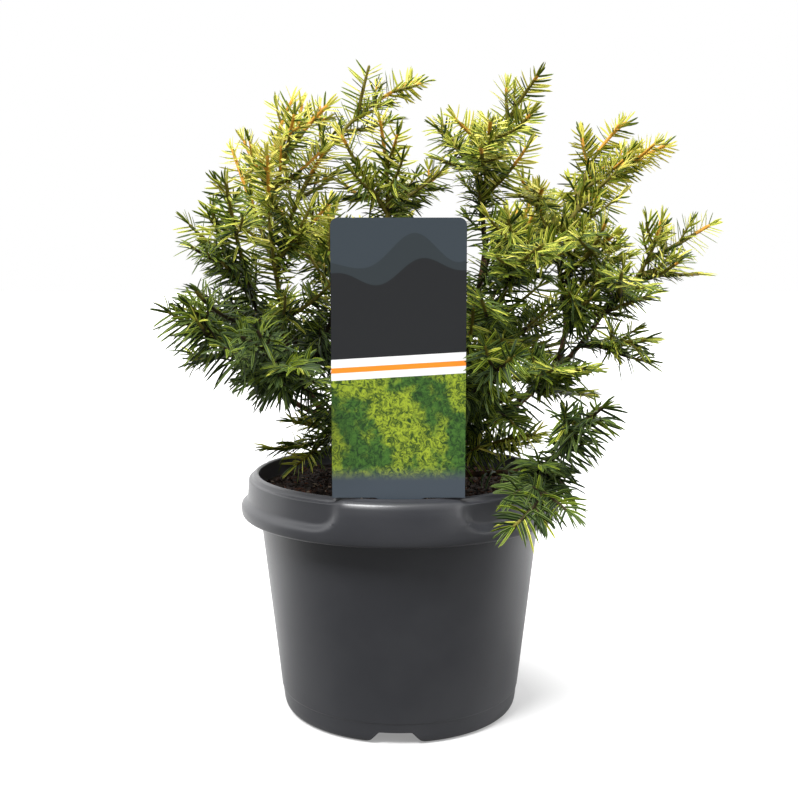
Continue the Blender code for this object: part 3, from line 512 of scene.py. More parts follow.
def fine_twigs(mass, path, space, chance, spacing):
    """Short twigs between the side twigs, by the same turning rule."""
    found = []
    where, turn = FINE_FIRST, chance.uniform(0, 360)
    while where < path.length - FINE_MARGIN:
        turn += GOLDEN_TURN
        angle = TWIG_ANGLE + chance.uniform(-FINE_SWAY, FINE_SWAY)
        reach = min(FINE_SHARE * (path.length - where) + FINE_ADDED, FINE_LONGEST)
        reach = reach * chance.uniform(*FINE_REACHES)
        twig = leaving(path, where, turn, angle, FINE_PULL, FINE_LIFT, reach)
        if reach >= FINE_SHORTEST and space.clear(mass, twig.spread(3 * MM)[1:], NEEDLE_MARGIN).all():
            found.append(twig)
        where += spacing * chance.uniform(*FINE_GAPS)
    return found


def frame_along(path, shares):
    """Points, tangents and two even cross directions at each ring."""
    points = path.at(shares)
    tangents = np.array([path.direction(share) for share in shares])
    side = np.cross(tangents[0], [0, 0, 1])
    if np.linalg.norm(side) < 0.1:
        side = np.array([1.0, 0, 0])
    sides = []
    for tangent in tangents:
        side = unit(side - tangent * (side @ tangent))
        sides.append(side)
    sides = np.array(sides)
    return points, tangents, sides, np.cross(tangents, sides)


# Looks. A tint counts from 0, the gold of young tips, to 4, the dark of the shaded inside: its darker end
# is partly the old needles' own green and partly painted shade.

# Base colours of a needle's middle, its margins and its underside
NEEDLE_TINTS = (
    ("gold", (0.430, 0.395, 0.045), (0.800, 0.740, 0.190), (0.690, 0.630, 0.120)),
    ("lime", (0.125, 0.155, 0.012), (0.520, 0.530, 0.075), (0.370, 0.385, 0.050)),
    ("green", (0.022, 0.050, 0.004), (0.185, 0.235, 0.018), (0.098, 0.138, 0.012)),
    ("deep", (0.009, 0.024, 0.003), (0.098, 0.142, 0.026), (0.045, 0.074, 0.012)),
    ("dark", (0.005, 0.013, 0.003), (0.046, 0.075, 0.019), (0.021, 0.038, 0.010)),
)
NEEDLE_PARTS = (("middle", 0.42), ("margin", 0.5), ("underside", 0.6))
OLDEST = len(NEEDLE_TINTS) - 1
STEM_TINTS = (
    ("gold_stem", (0.500, 0.250, 0.035)),
    ("olive_stem", (0.135, 0.115, 0.018)),
    ("brown_stem", (0.032, 0.024, 0.010)),
)
CRUMB_TINTS = (
    ("peat_crumb", (0.010, 0.006, 0.004)),
    ("brown_crumb", (0.034, 0.018, 0.011)),
    ("red_crumb", (0.090, 0.036, 0.020)),
    ("pale_crumb", (0.240, 0.190, 0.140)),
)
LEAF_GLOSS = 0.12
# Each mass's shift along the tint scale: lighter for the gold tops, darker for masses low in or inside the
# crown, partly their own greener needles and partly painted shade.
MASS_TINTS = {
    "left_top": -0.2, "left_outer": 0.6, "centre_left": -0.1, "centre_right": 0.3, "right_mid": -0.1,
    "right_far": -0.4, "back_left_top": -0.25, "back_top": -0.25, "back_right_top": -0.25,
    "low_left": 0.55, "front_spray": 0.4, "low_right": 0.9, "left_front": 0.9, "left_inner": 0.9,
    "left_back": 0.9, "centre": 0.9, "front_inner_left": 0.9, "low_left_twig": -0.05,
    "low_inner": -0.05, "back_soil": -0.05, "back_right_soil": -0.05, "back_low": -0.05,
    "back_right_low": -0.05, "right_low": -0.05,
}
OTHER_TINT = 0.2
KIND_TINTS = {"shoot": 0, "twig": 0.3, "fine": 0.65}
TINT_SWAY = 0.35
# Stems below a height get darker tints over a span, up to a most and scaled by a share: partly the greener
# needles low on the plant, partly painted shade.
GREEN_SHADE_FROM, GREEN_SHADE_OVER, GREEN_SHADE_MOST, GREEN_SHADE_SHARE = 330.0, 52.0, 1.55, 0.85
# Stems near the trunk get a darker tint: partly older needles, partly painted shade of the crown's inside.
INNER_RADIUS, INNER_TINT = 40, 0.5

# Stems: radii in mm at foot and tip, and how their tint grows from the tip over a length
STEM_RADII = {"shoot": (1.6, 1.0), "twig": (1.25, 0.8), "fine": (0.8, 0.6)}
STEM_SIDES, STEM_RING = 6, 2.5 * MM
STEM_TAPER, STEM_SWELLINGS = 0.8, (0.92, 1.1)
STEM_SUNK = 1.2 * MM
STEM_OLDER, STEM_TINT_STEP = 2.5, 1.5
OLDER_OVER = 75 * MM

# Needles: spacing, length by tint and kind, half width, outline and cross-section as shares of it
NEEDLE_STEP = 1.06 * MM
NEEDLE_REACH = (12.3 * MM, 2.0 * MM)
KIND_REACH = {"shoot": 1.0, "twig": 0.96, "fine": 0.84}
NEEDLE_HALF_WIDTH = 0.70 * MM
NEEDLE_WIDENING, NEEDLE_USUAL = (0.8, 0.2), 15 * MM
NEEDLE_OUTLINE = ((0.0, 0.50), (0.14, 0.95), (0.55, 1.0), (0.86, 0.72))
NEEDLE_RING = ((-1, 0), (-0.42, 0.26), (0.42, 0.26), (1, 0), (1, 0), (0, -0.34), (-1, 0))
NEEDLE_STRIPS = ((0, 1), (1, 0), (2, 1), (4, 2), (5, 2))
CLOSE_SHARE = 0.86
CLOSE_MASSES = (
    "front_inner_left", "front_inner_right", "front_spray", "centre_right", "right_star", "right_inner",
    "right_low", "right_mid", "centre", "low_inner", "low_right", "low_left", "left_front",
    "left_inner", "left_back",
)

# How needles stand: most are combed into two rows, and some stand all round the stem.
FEWEST_NEEDLES = 6
PLACE_SWAY = 0.12
TUFT, TUFT_FROM, TUFT_SWEEPS = 5, 0.97, (8, 24)
ROUND_SHARE, TURN_SWAY = 0.3, 15
LIFTS, LIFT_SWAY = (6, 40, 18, 66, 30), 4
LEVEL_LIFT, YOUNG_LIFT, YOUNG_BASE = 0.6, 0.65, 0.8
TIP_REACH = 16 * MM
NEEDLE_OLDER = 2.2
SWEEP, TIP_SWEEP, TIP_SWEEP_POWER, SWEEP_SWAY, OLD_SWEEP = 71, 26, 1.2, 5, 3
OLD_REACH_MOST = 3.2
FOOT_SIZE, FOOT_OVER = 0.74, 9 * MM
TIP_SIZE, TIP_SIZE_POWER, SIZE_SWAY = 0.25, 2.5, (0.88, 1.08)
FACE_ALONG, FACE_COMBED, FACE_ROUND, FACE_SWAY = 0.9, 0.8, 0.15, 0.1
DROOP, OLD_DROOP, OLD_DROOP_FROM, OLD_DROOP_MOST = 0.02, 0.13, 0.6, 2.6
DROOP_SWAY, LEVEL_DROOP = (0.7, 1.2), 0.35
TINT_SPREAD, STRAY_SHARE, STRAY_TINT = 0.5, 0.25, 1.5
ARCH, HOOK = 0.14, (0.17, 0.07)
OUTWARD_SHARES, FRONT_TO, FRONT_PULL = (0.6, 1, 0), 0.02, (0, 0.06, 0)

# Needles on the boughs: where each bough's begin, the tint of their tips, their spacing
BOUGH_FROM = 0.62
BOUGH_NEEDLES_FROM = {
    "right_up_bough": 0.3, "right_out_bough": 0.3, "centre_right_bough": 0.12, "centre_left_bough": 0.45,
}
# Bough needles get a dark tint, lighter on the centre right bough: partly their own green, partly painted
# shade inside the crown.
BOUGH_TINT, BOUGH_TINTS = 2.9, {"centre_right_bough": 1.2}
BOUGH_STEP, BOUGH_ROUND_SHARE = 1.4 * MM, 0.6


# Materials

class Wires:
    """Short ways to add nodes to a tree and wire them."""

    def __init__(self, tree):
        self.tree = tree

    def feed(self, socket, value):
        if isinstance(value, bpy.types.NodeSocket):
            self.tree.links.new(value, socket)
        else:
            socket.default_value = value

    def node(self, kind, inputs=(), **settings):
        made = self.tree.nodes.new("ShaderNode" + kind)
        for key, value in settings.items():
            setattr(made, key, value)
        for key, value in dict(inputs).items():
            self.feed(made.inputs[key], value)
        return made

    def math(self, operation, first, second=0.0):
        return self.node("Math", {0: first, 1: second}, operation=operation).outputs[0]

    def add(self, first, second):
        return self.math("ADD", first, second)

    def times(self, first, second):
        return self.math("MULTIPLY", first, second)

    def mix(self, share, first, second):
        colors = [(*color, 1) if isinstance(color, tuple) else color for color in (first, second)]
        return self.node("Mix", {0: share, 6: colors[0], 7: colors[1]}, data_type="RGBA").outputs[2]

    def noise(self, place, scale, detail=4.0, roughness=0.55, distortion=0.0):
        inputs = {"Vector": place, "Scale": scale, "Detail": detail, "Roughness": roughness}
        return self.node("TexNoise", {**inputs, "Distortion": distortion}).outputs[0]

    def between(self, value, low, high, first=0.0, last=1.0, kind="LINEAR"):
        """A value that goes from first to last while the given one goes from low to high."""
        inputs = {"Value": value, "From Min": low, "From Max": high, "To Min": first, "To Max": last}
        return self.node("MapRange", inputs, interpolation_type=kind).outputs[0]

    def steps(self, value, low, high):
        return self.between(value, low, high, kind="SMOOTHSTEP")

    def place(self, kind="Object"):
        return self.node("TexCoord").outputs[kind]

    def axes(self, place):
        return self.node("SeparateXYZ", {0: place}).outputs


class Surface(Wires):
    """A Principled material."""

    def __init__(self, name, color, roughness, specular=0.5):
        self.material = bpy.data.materials.new(name)
        self.material.use_nodes = True
        super().__init__(self.material.node_tree)
        self.shader = self.tree.nodes["Principled BSDF"]
        self.wear((*color, 1), "Base Color")
        self.wear(roughness, "Roughness")
        self.wear(specular, "Specular IOR Level")
        self.material.diffuse_color = (*color, 1)

    def wear(self, value, name):
        self.feed(self.shader.inputs[name], value)

    def bump(self, height, strength, distance):
        made = self.node("Bump", {"Height": height, "Strength": strength, "Distance": distance})
        self.wear(made.outputs[0], "Normal")


def pot_material():
    """Satin moulded polypropylene: almost even, with faint cloudiness and a fine orange-peel skin."""
    made = Surface("pot_plastic_look", (0.025, 0.026, 0.030), 0.46, 0.5)
    place = made.place()
    cloud = made.steps(made.noise(place, 28, 3), 0.35, 0.7)
    made.wear(made.mix(cloud, (0.023, 0.024, 0.028), (0.028, 0.029, 0.033)), "Base Color")
    fine = made.noise(place, 900, 2)
    scuffs = made.steps(made.noise(place, 110, 6, 0.7), 0.62, 0.8)
    made.wear(made.add(0.30, made.times(made.add(fine, scuffs), 0.08)), "Roughness")
    made.bump(fine, 0.12, 0.0002)
    return made.material


# The card's design, in mm above the ground: swells, a white band with a line in it, and the slate foot
SWELL_HEIGHT, FAR_SWELL = 262, (9.8, 10.1)
GREEN_TOP, BAND, LINE, BAND_SLOPE, BAND_EDGE = 213.0, (207.5, 218.5), (211.3, 214.1), 0.06, 0.1
SLATE_FROM, SLATE_TO = 161, 152


def card_material():
    """A plain card: slate sky over charcoal swells, a white band with an orange line, mottled green
    below it and a slate foot."""
    made = Surface("care_card_look", (0.035, 0.036, 0.038), 0.34)
    add, times, steps, mix = made.add, made.times, made.steps, made.mix
    place = made.place()
    x, _, z = made.axes(place)
    across, up = times(x, 1000), times(z, 1000)

    def wave(kind, pitch, height):
        return times(made.math(kind, times(across, pitch)), height)

    def edge(height):
        return steps(level, height - BAND_EDGE, height + BAND_EDGE)

    def band(low, high):
        return times(edge(low), steps(level, high + BAND_EDGE, high - BAND_EDGE))

    swell = add(SWELL_HEIGHT, add(wave("SINE", 0.16, 3.4), wave("SINE", 0.071, 5)))
    crest = made.math("SUBTRACT", up, swell)
    far = add(crest, wave("COSINE", 0.11, -6))
    color = mix(steps(crest, -0.15, 0.15), (0.0155, 0.0165, 0.0182), (0.029, 0.037, 0.042))
    color = mix(steps(far, *FAR_SWELL), color, (0.039, 0.051, 0.062))
    leaf = made.noise(place, 330, 5, 0.7, 1.6)
    bush = mix(steps(leaf, 0.38, 0.62), (0.016, 0.050, 0.006), (0.330, 0.420, 0.028))
    shady = mix(steps(leaf, 0.35, 0.66), (0.007, 0.028, 0.006), (0.060, 0.160, 0.022))
    green = mix(steps(made.noise(place, 52, 4, 0.6), 0.42, 0.56), bush, shady)
    level = made.math("SUBTRACT", up, times(across, BAND_SLOPE))
    color = mix(edge(GREEN_TOP), green, color)
    color = mix(band(*BAND), color, (0.93, 0.93, 0.93))
    color = mix(band(*LINE), color, (0.93, 0.27, 0.020))
    made.wear(mix(steps(up, SLATE_FROM, SLATE_TO), color, (0.050, 0.064, 0.080)), "Base Color")
    made.bump(made.noise(place, 700, 2), 0.03, 0.0001)
    return made.material


def soil_material():
    made = Surface("soil_look", (0.020, 0.012, 0.008), 0.92, 0.2)
    grain = made.noise(made.place(), 420, 6, 0.7)
    color = made.mix(made.steps(grain, 0.35, 0.65), (0.006, 0.004, 0.003), (0.040, 0.022, 0.014))
    made.wear(color, "Base Color")
    made.bump(grain, 0.8, 0.0008)
    return made.material


def bark_material():
    """Reddish-brown bark with grey-brown scales."""
    made = Surface("bark_look", (0.080, 0.042, 0.024), 0.82, 0.3)
    place = made.place()
    scale = made.noise(place, 260, 5, 0.65)
    color = made.mix(made.steps(scale, 0.38, 0.62), (0.034, 0.019, 0.012), (0.150, 0.075, 0.036))
    color = made.mix(made.steps(made.noise(place, 90, 3), 0.56, 0.7), color, (0.110, 0.085, 0.060))
    made.wear(color, "Base Color")
    made.bump(scale, 0.7, 0.0006)
    return made.material


def plain_material(name, color, roughness, specular):
    return Surface(name, color, roughness, specular).material


# Objects and meshes

def put(name, data):
    """A new object of this data, in the scene."""
    obj = bpy.data.objects.new(name, data)
    bpy.context.scene.collection.objects.link(obj)
    return obj


def put_mesh(name, mesh):
    """A new object of a finished bmesh."""
    data = bpy.data.meshes.new(name)
    mesh.to_mesh(data)
    mesh.free()
    return put(name, data)


def array_object(name, points, faces, slots, materials, smooth=True):
    """An object of triangles, with only the materials that its faces wear."""
    used, slots = np.unique(slots, return_inverse=True)
    mesh = bpy.data.meshes.new(name)
    mesh.vertices.add(len(points))
    mesh.vertices.foreach_set("co", np.ascontiguousarray(points, np.float32).ravel())
    mesh.loops.add(faces.size)
    mesh.loops.foreach_set("vertex_index", np.ascontiguousarray(faces, np.int32).ravel())
    mesh.polygons.add(len(faces))
    mesh.polygons.foreach_set("loop_start", np.arange(0, faces.size, 3, dtype=np.int32))
    for slot in used:
        mesh.materials.append(materials[slot])
    mesh.polygons.foreach_set("material_index", slots.astype(np.int32).ravel())
    mesh.polygons.foreach_set("use_smooth", np.full(len(faces), smooth))
    mesh.update(calc_edges=True)
    mesh.validate()
    return put(name, mesh)


def dress(obj, slot, *nodes):
    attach(obj, "root")
    if nodes:
        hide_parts(*nodes)


def turns_of(count):
    """Even turns round a circle, in radians."""
    return 2 * math.pi * np.arange(count) / count


def tube(middles, tangents, across, ups, radii, sides):
    """Points and triangles of a tube through rings, closed at its far end."""
    turns = turns_of(sides)
    radii = np.asarray(radii)
    if radii.ndim == 1:
        radii = radii[:, None]
    ring = np.cos(turns)[None, :, None] * across[:, None] + np.sin(turns)[None, :, None] * ups[:, None]
    points = middles[:, None] + ring * radii[..., None]
    count = len(middles)
    tip = middles[-1] + tangents[-1] * radii[-1].mean()
    points = np.vstack([points.reshape(-1, 3), tip])
    low = np.arange(count - 1)[:, None] * sides + np.arange(sides)
    after = np.arange(count - 1)[:, None] * sides + (np.arange(sides) + 1) % sides
    first = np.stack([low, after, after + sides], -1).reshape(-1, 3)
    second = np.stack([low, after + sides, low + sides], -1).reshape(-1, 3)
    end = (count - 1) * sides
    cap = np.array([[end + i, end + (i + 1) % sides, count * sides] for i in range(sides)])
    return points, np.vstack([first, second, cap])


class Pile:
    """Collects points, triangles and slots into one mesh."""

    def __init__(self):
        self.points, self.faces, self.slots, self.count = [], [], [], 0

    def add(self, points, faces, slots):
        self.points.append(points)
        self.faces.append(faces + self.count)
        self.slots.append(np.broadcast_to(slots, len(faces)))
        self.count += len(points)

    def object(self, name, materials, smooth=True):
        points, faces, slots = np.vstack(self.points), np.vstack(self.faces), np.concatenate(self.slots)
        return array_object(name, points, faces, slots, materials, smooth)


# Twigs and needles

def level_of(path):
    """0 on an upright stem, whose needles stand all round it, to 1 on a level one, with two rows."""
    return 1 - min(abs(path.direction(0.5)[2]) / UPRIGHT, 1)


def spray_frame(points, tangents, level):
    """Across and outward directions at each needle: a spray's flat side faces up on a level stem
    and away from the plant's middle, most to the front or back, on an upright one."""
    outward = points * np.array(OUTWARD_SHARES)
    outward = outward + np.where(points[:, 1:2] < FRONT_TO, -1, 1) * np.array(FRONT_PULL)
    outward = unit(outward) * (1 - level) + np.array([0, 0, 1.0]) * level
    outward = unit(outward - tangents * (outward * tangents).sum(1)[:, None])
    return np.cross(tangents, outward), outward


def grown_tint(base, share, length, older):
    """The tint along a stem, whose tip has the base tint."""
    return base + older * (1 - share) * min(length / OLDER_OVER, 1)


def needle_rows(path, kind, base, chance, step=NEEDLE_STEP, around=ROUND_SHARE):
    """Where each needle of one stem starts, its direction, upper side, length, bend and tint: two
    combed rows, and a share of needles that stand all round an upright stem."""
    rng = np.random.default_rng(chance.randrange(1 << 30))
    count = max(FEWEST_NEEDLES, int(path.length / step))
    place = (np.arange(count) + 0.5 + rng.uniform(-PLACE_SWAY, PLACE_SWAY, count)) / count
    place = np.concatenate([place, np.linspace(TUFT_FROM, 1.0, TUFT)])
    count = len(place)
    number = np.arange(count)
    points, tangents, _, _ = frame_along(path, place)
    level = level_of(path)
    across, outward = spray_frame(points, tangents, level)
    lifts = np.array(LIFTS)[(number // 2) % len(LIFTS)] * (1 - LEVEL_LIFT * level)
    lifts = lifts * (YOUNG_LIFT if base < YOUNG_BASE else 1)
    lifts = np.radians(lifts + rng.uniform(-LIFT_SWAY, LIFT_SWAY, count))[:, None]
    hand = np.where(number % 2, 1.0, -1.0)[:, None]
    combed = (rng.random(count) >= around * (1 - level))[:, None]
    turn = np.radians(GOLDEN_TURN * number + rng.uniform(-TURN_SWAY, TURN_SWAY, count))[:, None]
    out = np.where(combed, across * np.cos(lifts) * hand + outward * np.sin(lifts),
                   across * np.cos(turn) + outward * np.sin(turn))
    tip = np.clip(1 - (1 - place) * path.length / TIP_REACH, 0, 1)
    tint = grown_tint(base, place, path.length, NEEDLE_OLDER)
    old = np.clip(tint, 0, OLDEST)
    sweep = SWEEP - TIP_SWEEP * tip ** TIP_SWEEP_POWER + rng.uniform(-SWEEP_SWAY, SWEEP_SWAY, count)
    sweep = sweep + np.clip(old - 1, 0, 2) * OLD_SWEEP
    sweep[-TUFT:] = rng.uniform(*TUFT_SWEEPS, TUFT)
    sweep = np.radians(sweep)[:, None]
    along = tangents * np.cos(sweep) + out * np.sin(sweep)
    size = (NEEDLE_REACH[0] + NEEDLE_REACH[1] * np.clip(old, 0, OLD_REACH_MOST)) * KIND_REACH[kind]
    size = size * (FOOT_SIZE + (1 - FOOT_SIZE) * np.clip(place * path.length / FOOT_OVER, 0, 1))
    size = size * (1 - TIP_SIZE * tip ** TIP_SIZE_POWER) * rng.uniform(*SIZE_SWAY, count)
    face = tangents * FACE_ALONG + outward * np.where(combed, FACE_COMBED, FACE_ROUND)
    face = unit(face + rng.normal(0, FACE_SWAY, tangents.shape))
    face = unit(face - along * (face * along).sum(1)[:, None])
    droop = OLD_DROOP * np.clip(old - OLD_DROOP_FROM, 0, OLD_DROOP_MOST) * rng.uniform(*DROOP_SWAY, count)
    droop = DROOP + droop * (1 - LEVEL_DROOP * level)
    tint = tint + rng.normal(0, TINT_SPREAD, count) + (rng.random(count) < STRAY_SHARE) * STRAY_TINT
    hook = tangents * np.sin(sweep) - out * np.cos(sweep)
    bend = np.array([0, 0, -1.0]) * droop[:, None] - face * ARCH + hook * rng.normal(*HOOK, (count, 1))
    return points, along, face, size, bend, tint


def needle_template():
    """For one needle: each point's share of length, side step and height, the triangles and parts."""
    rows, ring = len(NEEDLE_OUTLINE), len(NEEDLE_RING)
    points = [
        (share, side * width, height * width)
        for share, width in NEEDLE_OUTLINE
        for side, height in NEEDLE_RING
    ]
    points += [(1.0, 0, 0)] * 2
    faces, parts = [], []
    for row in range(rows):
        for side, part in NEEDLE_STRIPS:
            here = row * ring + side
            if row + 1 < rows:
                faces += [(here, here + 1, here + ring + 1), (here, here + ring + 1, here + ring)]
                parts += [part, part]
            else:
                faces.append((here, here + 1, rows * ring + (part == 2)))
                parts.append(part)
    return *np.array(points).T, np.array(faces), np.array(parts)


TEMPLATE = needle_template()


def needle_blades(points, along, face, size, bend):
    """All the blades' points, arched along their length."""
    places, sides, heights, _, _ = TEMPLATE
    across = np.cross(along, face)
    line = along[:, None] * places[None, :, None] + bend[:, None] * (places ** 2)[None, :, None]
    line = points[:, None] + line * size[:, None, None]
    wide = NEEDLE_WIDENING[0] + NEEDLE_WIDENING[1] * size / NEEDLE_USUAL
    wide = NEEDLE_HALF_WIDTH * wide[:, None, None]
    return line + (across[:, None] * sides[None, :, None] + face[:, None] * heights[None, :, None]) * wide


def open_air(points):
    """Whether points are clear of the card, the pot and the soil, and near the part's box."""
    good = out_of_pot(points, NEEDLE_ROOM, NEEDLE_ROOM) & ~by_card(points, NEEDLE_ROOM, NEEDLE_CARD_ROOM)
    low, high = np.array(CAD_BOX[0]) / MM - BOX_ROOM, np.array(CAD_BOX[1]) / MM + BOX_ROOM
    x, y, z = in_mm(points)
    return good & (x > low[0]) & (x < high[0]) & (y > low[1]) & (y < high[1]) & (z < high[2])


def through_card(blades):
    """Whether a blade goes from one side of the card to the other through it."""
    x, y, z = in_mm(blades)
    middle = x.mean(1)
    good = (y.min(1) < CARD_PLANE) & (y.max(1) > CARD_PLANE) & (z.min(1) < CARD_HIGH + NEEDLE_ROOM)
    return good & (middle > CARD_LEFT - NEEDLE_SIDE_ROOM) & (middle < CARD_RIGHT + NEEDLE_SIDE_ROOM)


def add_needles(pile, rows):
    *placing, tint = rows
    blades = needle_blades(*placing)
    keep = open_air(blades[:, len(NEEDLE_RING):]).all(1) & ~through_card(blades)
    blades, tint = blades[keep], tint[keep]
    if not len(blades):
        return
    *_, faces, parts = TEMPLATE
    kinds = np.clip(np.round(tint), 0, OLDEST).astype(int)
    all_faces = faces[None] + (np.arange(len(blades)) * blades.shape[1])[:, None, None]
    slots = (kinds[:, None] * len(NEEDLE_PARTS) + parts[None]).reshape(-1)
    pile.add(blades.reshape(-1, 3), all_faces.reshape(-1, 3), slots)


def add_stem(pile, path, kind, base, chance):
    """A slim stem with slight swellings where needles leave it, from gold at its tip to brown."""
    count = max(3, round(path.length / STEM_RING))
    share = np.linspace(0, 1, count + 1)
    points, tangents, across, ups = frame_along(path, share)
    foot, tip = STEM_RADII[kind]
    radii = foot + (tip - foot) * share ** STEM_TAPER
    radii = radii * np.array([chance.uniform(*STEM_SWELLINGS) for _ in share]) * MM
    points[0] = points[0] - tangents[0] * (STEM_SUNK if kind == "shoot" else 0)
    made, faces = tube(points, tangents, across, ups, radii, STEM_SIDES)
    tint = grown_tint(base, share[:-1], path.length, STEM_OLDER) / STEM_TINT_STEP
    tint = np.clip(np.round(tint), 0, len(STEM_TINTS) - 1).astype(int)
    rings = np.repeat(tint, STEM_SIDES)
    pile.add(made, faces, np.concatenate([rings, rings, np.full(STEM_SIDES, tint[-1])]))


def stem_base(mass, path, kind, chance):
    """How far from gold a stem's tip is, from its mass, height, kind and nearness to the trunk: darker low
    down and inside the crown, partly the needles' own green and partly painted shade.
    """
    x, y, z = path.points[-1]
    shade = min(max((GREEN_SHADE_FROM - z / MM) / GREEN_SHADE_OVER, 0), GREEN_SHADE_MOST)
    base = MASS_TINTS.get(mass, OTHER_TINT) + GREEN_SHADE_SHARE * shade + KIND_TINTS[kind]
    base += chance.uniform(-TINT_SWAY, TINT_SWAY)
    return base + (INNER_TINT if math.hypot(x, y) / MM < INNER_RADIUS else 0)


def grow_foliage(masses, space, needle_looks, stem_looks):
    for index, (mass, shoots) in enumerate(masses.items()):
        close = CLOSE_SHARE if mass in CLOSE_MASSES else 1
        chance = random.Random(SEED * 1000 + index)
        stems = [("shoot", path) for path in shoots.values()]
        for path in shoots.values():
            stems += [("twig", twig) for twig in side_twigs(mass, path, space, chance)]
        for kind, path in list(stems):
            if kind == "shoot" or path.length > FINE_CARRIER:
                fine = fine_twigs(mass, path, space, chance, FINE_SPACING * close ** 2)
                stems += [("fine", twig) for twig in fine]
        needles, wood = Pile(), Pile()
        for kind, path in stems:
            base = stem_base(mass, path, kind, chance)
            add_stem(wood, path, kind, base, chance)
            add_needles(needles, needle_rows(path, kind, base, chance, NEEDLE_STEP * close))
        for end, pile, looks in (("leaves", needles, needle_looks), ("twigs", wood, stem_looks)):
            dress(pile.object(f"{mass}_{end}", looks), f"{mass}_needles", f"{mass}_mass")


def grow_bough_needles(limbs, needle_looks):
    """Needles on the upper parts of the boughs, inside the crown."""
    pile = Pile()
    chance = random.Random(SEED * 3000)
    for name, (path, _) in limbs.items():
        if name == "trunk":
            continue
        start = BOUGH_NEEDLES_FROM.get(name, BOUGH_FROM)
        points = path.at(np.linspace(start, 1, 12))
        steps = np.diff(points, axis=0)
        length = path.length * (1 - start)
        part = Path(points[0], steps * len(steps) / length, length)
        base = BOUGH_TINTS.get(name, BOUGH_TINT)
        add_needles(pile, needle_rows(part, "twig", base, chance, BOUGH_STEP, BOUGH_ROUND_SHARE))
    dress(pile.object("bough_leaves", needle_looks), "centre_needles")


# Bark: sides and ring spacing of the trunk and of a bough, the swollen foot, and the relief's ridges

TRUNK_SIDES, TRUNK_RING, TRUNK_RELIEF = 28, 0.9 * MM, 0.10
BOUGH_SIDES, BOUGH_RING, BOUGH_RELIEF = 18, 1.3 * MM, 0.085
FOOT_SWELL, FOOT_SWELL_OVER, FOOT_SUNK = 0.9, 2.2 * MM, 2.2
RIDGE_TURN, RIDGE_ALONG, RIDGE_FINE = 2.2, 6 * MM, 2.7
BUTTRESSES, BUTTRESS_TURN, BUTTRESS_RELIEF, BUTTRESS_HEIGHT = 5, 0.7, 0.10, 6


def bark_relief(path, share, turns, depth):
    """How far the bark stands out at each ring and side, as a share of the radius."""
    relief = np.empty((len(share), len(turns)))
    for ring, side in np.ndindex(relief.shape):
        turn = turns[side]
        spot = Vector((math.cos(turn) * RIDGE_TURN, math.sin(turn) * RIDGE_TURN,
                       share[ring] * path.length / RIDGE_ALONG))
        relief[ring, side] = 1 + depth * (noise.noise(spot) + 0.5 * noise.noise(spot * RIDGE_FINE))
    return relief


def grow_bark(limbs, bark):
    """The trunk and boughs with scaly ridges, each bough's foot run into its carrier."""
    pile = Pile()
    for name, (path, radii) in limbs.items():
        trunk = name == "trunk"
        sides = TRUNK_SIDES if trunk else BOUGH_SIDES
        count = round(path.length / (TRUNK_RING if trunk else BOUGH_RING))
        share = np.linspace(0, 1, count + 1)
        points, tangents, across, ups = frame_along(path, share)
        size = radii[0] + (radii[1] - radii[0]) * share
        turns = turns_of(sides)
        relief = bark_relief(path, share, turns, TRUNK_RELIEF if trunk else BOUGH_RELIEF)
        if trunk:
            size = size + flare(points[:, 2])
            buttress = np.exp(-(points[:, 2] / MM - SOIL_HEIGHT) / BUTTRESS_HEIGHT)[:, None]
            lobes = np.array([math.cos(turn * BUTTRESSES + BUTTRESS_TURN) for turn in turns])
            relief += BUTTRESS_RELIEF * buttress * lobes
        else:
            size = size + FOOT_SWELL * np.exp(-share * path.length / FOOT_SWELL_OVER)
            points = np.vstack([points[0] - tangents[0] * FOOT_SUNK * MM, points])
            tangents, across, ups = (np.vstack([row[:1], row]) for row in (tangents, across, ups))
            size, relief = np.append(size[:1], size), np.vstack([relief[:1], relief])
        made, faces = tube(points, tangents, across, ups, size[:, None] * relief * MM, sides)
        pile.add(made, faces, 0)
    dress(pile.object("bark_relief", [bark]), "bark", *limbs)


# Pot

def wall_radius(height):
    return WALL_FOOT_RADIUS + WALL_SLOPE * height


def pot_profile():
    """From the axis under the floor, up the outside, over the lip and down the inside."""
    outside = [(0, 0), (66.3, 0), (68.5, 0.7), (70.0, 2.1), (wall_radius(4.6), 4.6)]
    outside += [(wall_radius(STEP_HEIGHT), STEP_HEIGHT)]
    outside += [(wall_radius(STEP_HEIGHT) + STEP_DEPTH, STEP_HEIGHT + 0.6)]
    outside += [(wall_radius(136), 136)]
    under_rim = [(87.0, 139.6), (89.0, 139.4), (91.0, 137.0), (92.6, 131.0), (93.2, 125.5)]
    under_rim += [(93.3, 120.5), (92.6, 118.6)]
    lip = [(LIP_OUTER + 0.3, LIP_HEIGHT - 0.3), (85.3, LIP_HEIGHT), (LIP_INNER, LIP_HEIGHT - 0.6)]
    inside = [(LIP_INNER + 0.2, 139.5), (wall_radius(134) - WALL, 134)]
    inside += [(wall_radius(8) - WALL - 0.3, 8), (68.2, 2.9), (65.8, FLOOR)]
    inside += [(0, FLOOR)]
    return outside + under_rim + list(RIM_PROFILE) + lip + inside


def rim_radius(height):
    """The radius of the rim's outside, in mm."""
    heights = [point[1] for point in RIM_PROFILE]
    return float(np.interp(height, heights, [point[0] for point in RIM_PROFILE]))


def smooth(value, low, high):
    share = min(max((value - low) / (high - low), 0), 1)
    return share * share * (3 - 2 * share)


def grip_amount(turn, height):
    """How far a grip is pressed in, from 0 to 1. Its lower corners are round."""
    edge = min(turn - GRIP_FROM, GRIP_TO - turn)
    corner = 1 - min(max(edge / GRIP_CORNER_TURN, 0), 1)
    foot = GRIP_FOOT + GRIP_CORNER_RISE * (1 - math.sqrt(1 - corner * corner))
    fade = smooth(height, foot - GRIP_FADE[0], foot + GRIP_FADE[1])
    return smooth(edge, -GRIP_BLEND, GRIP_BLEND) * fade


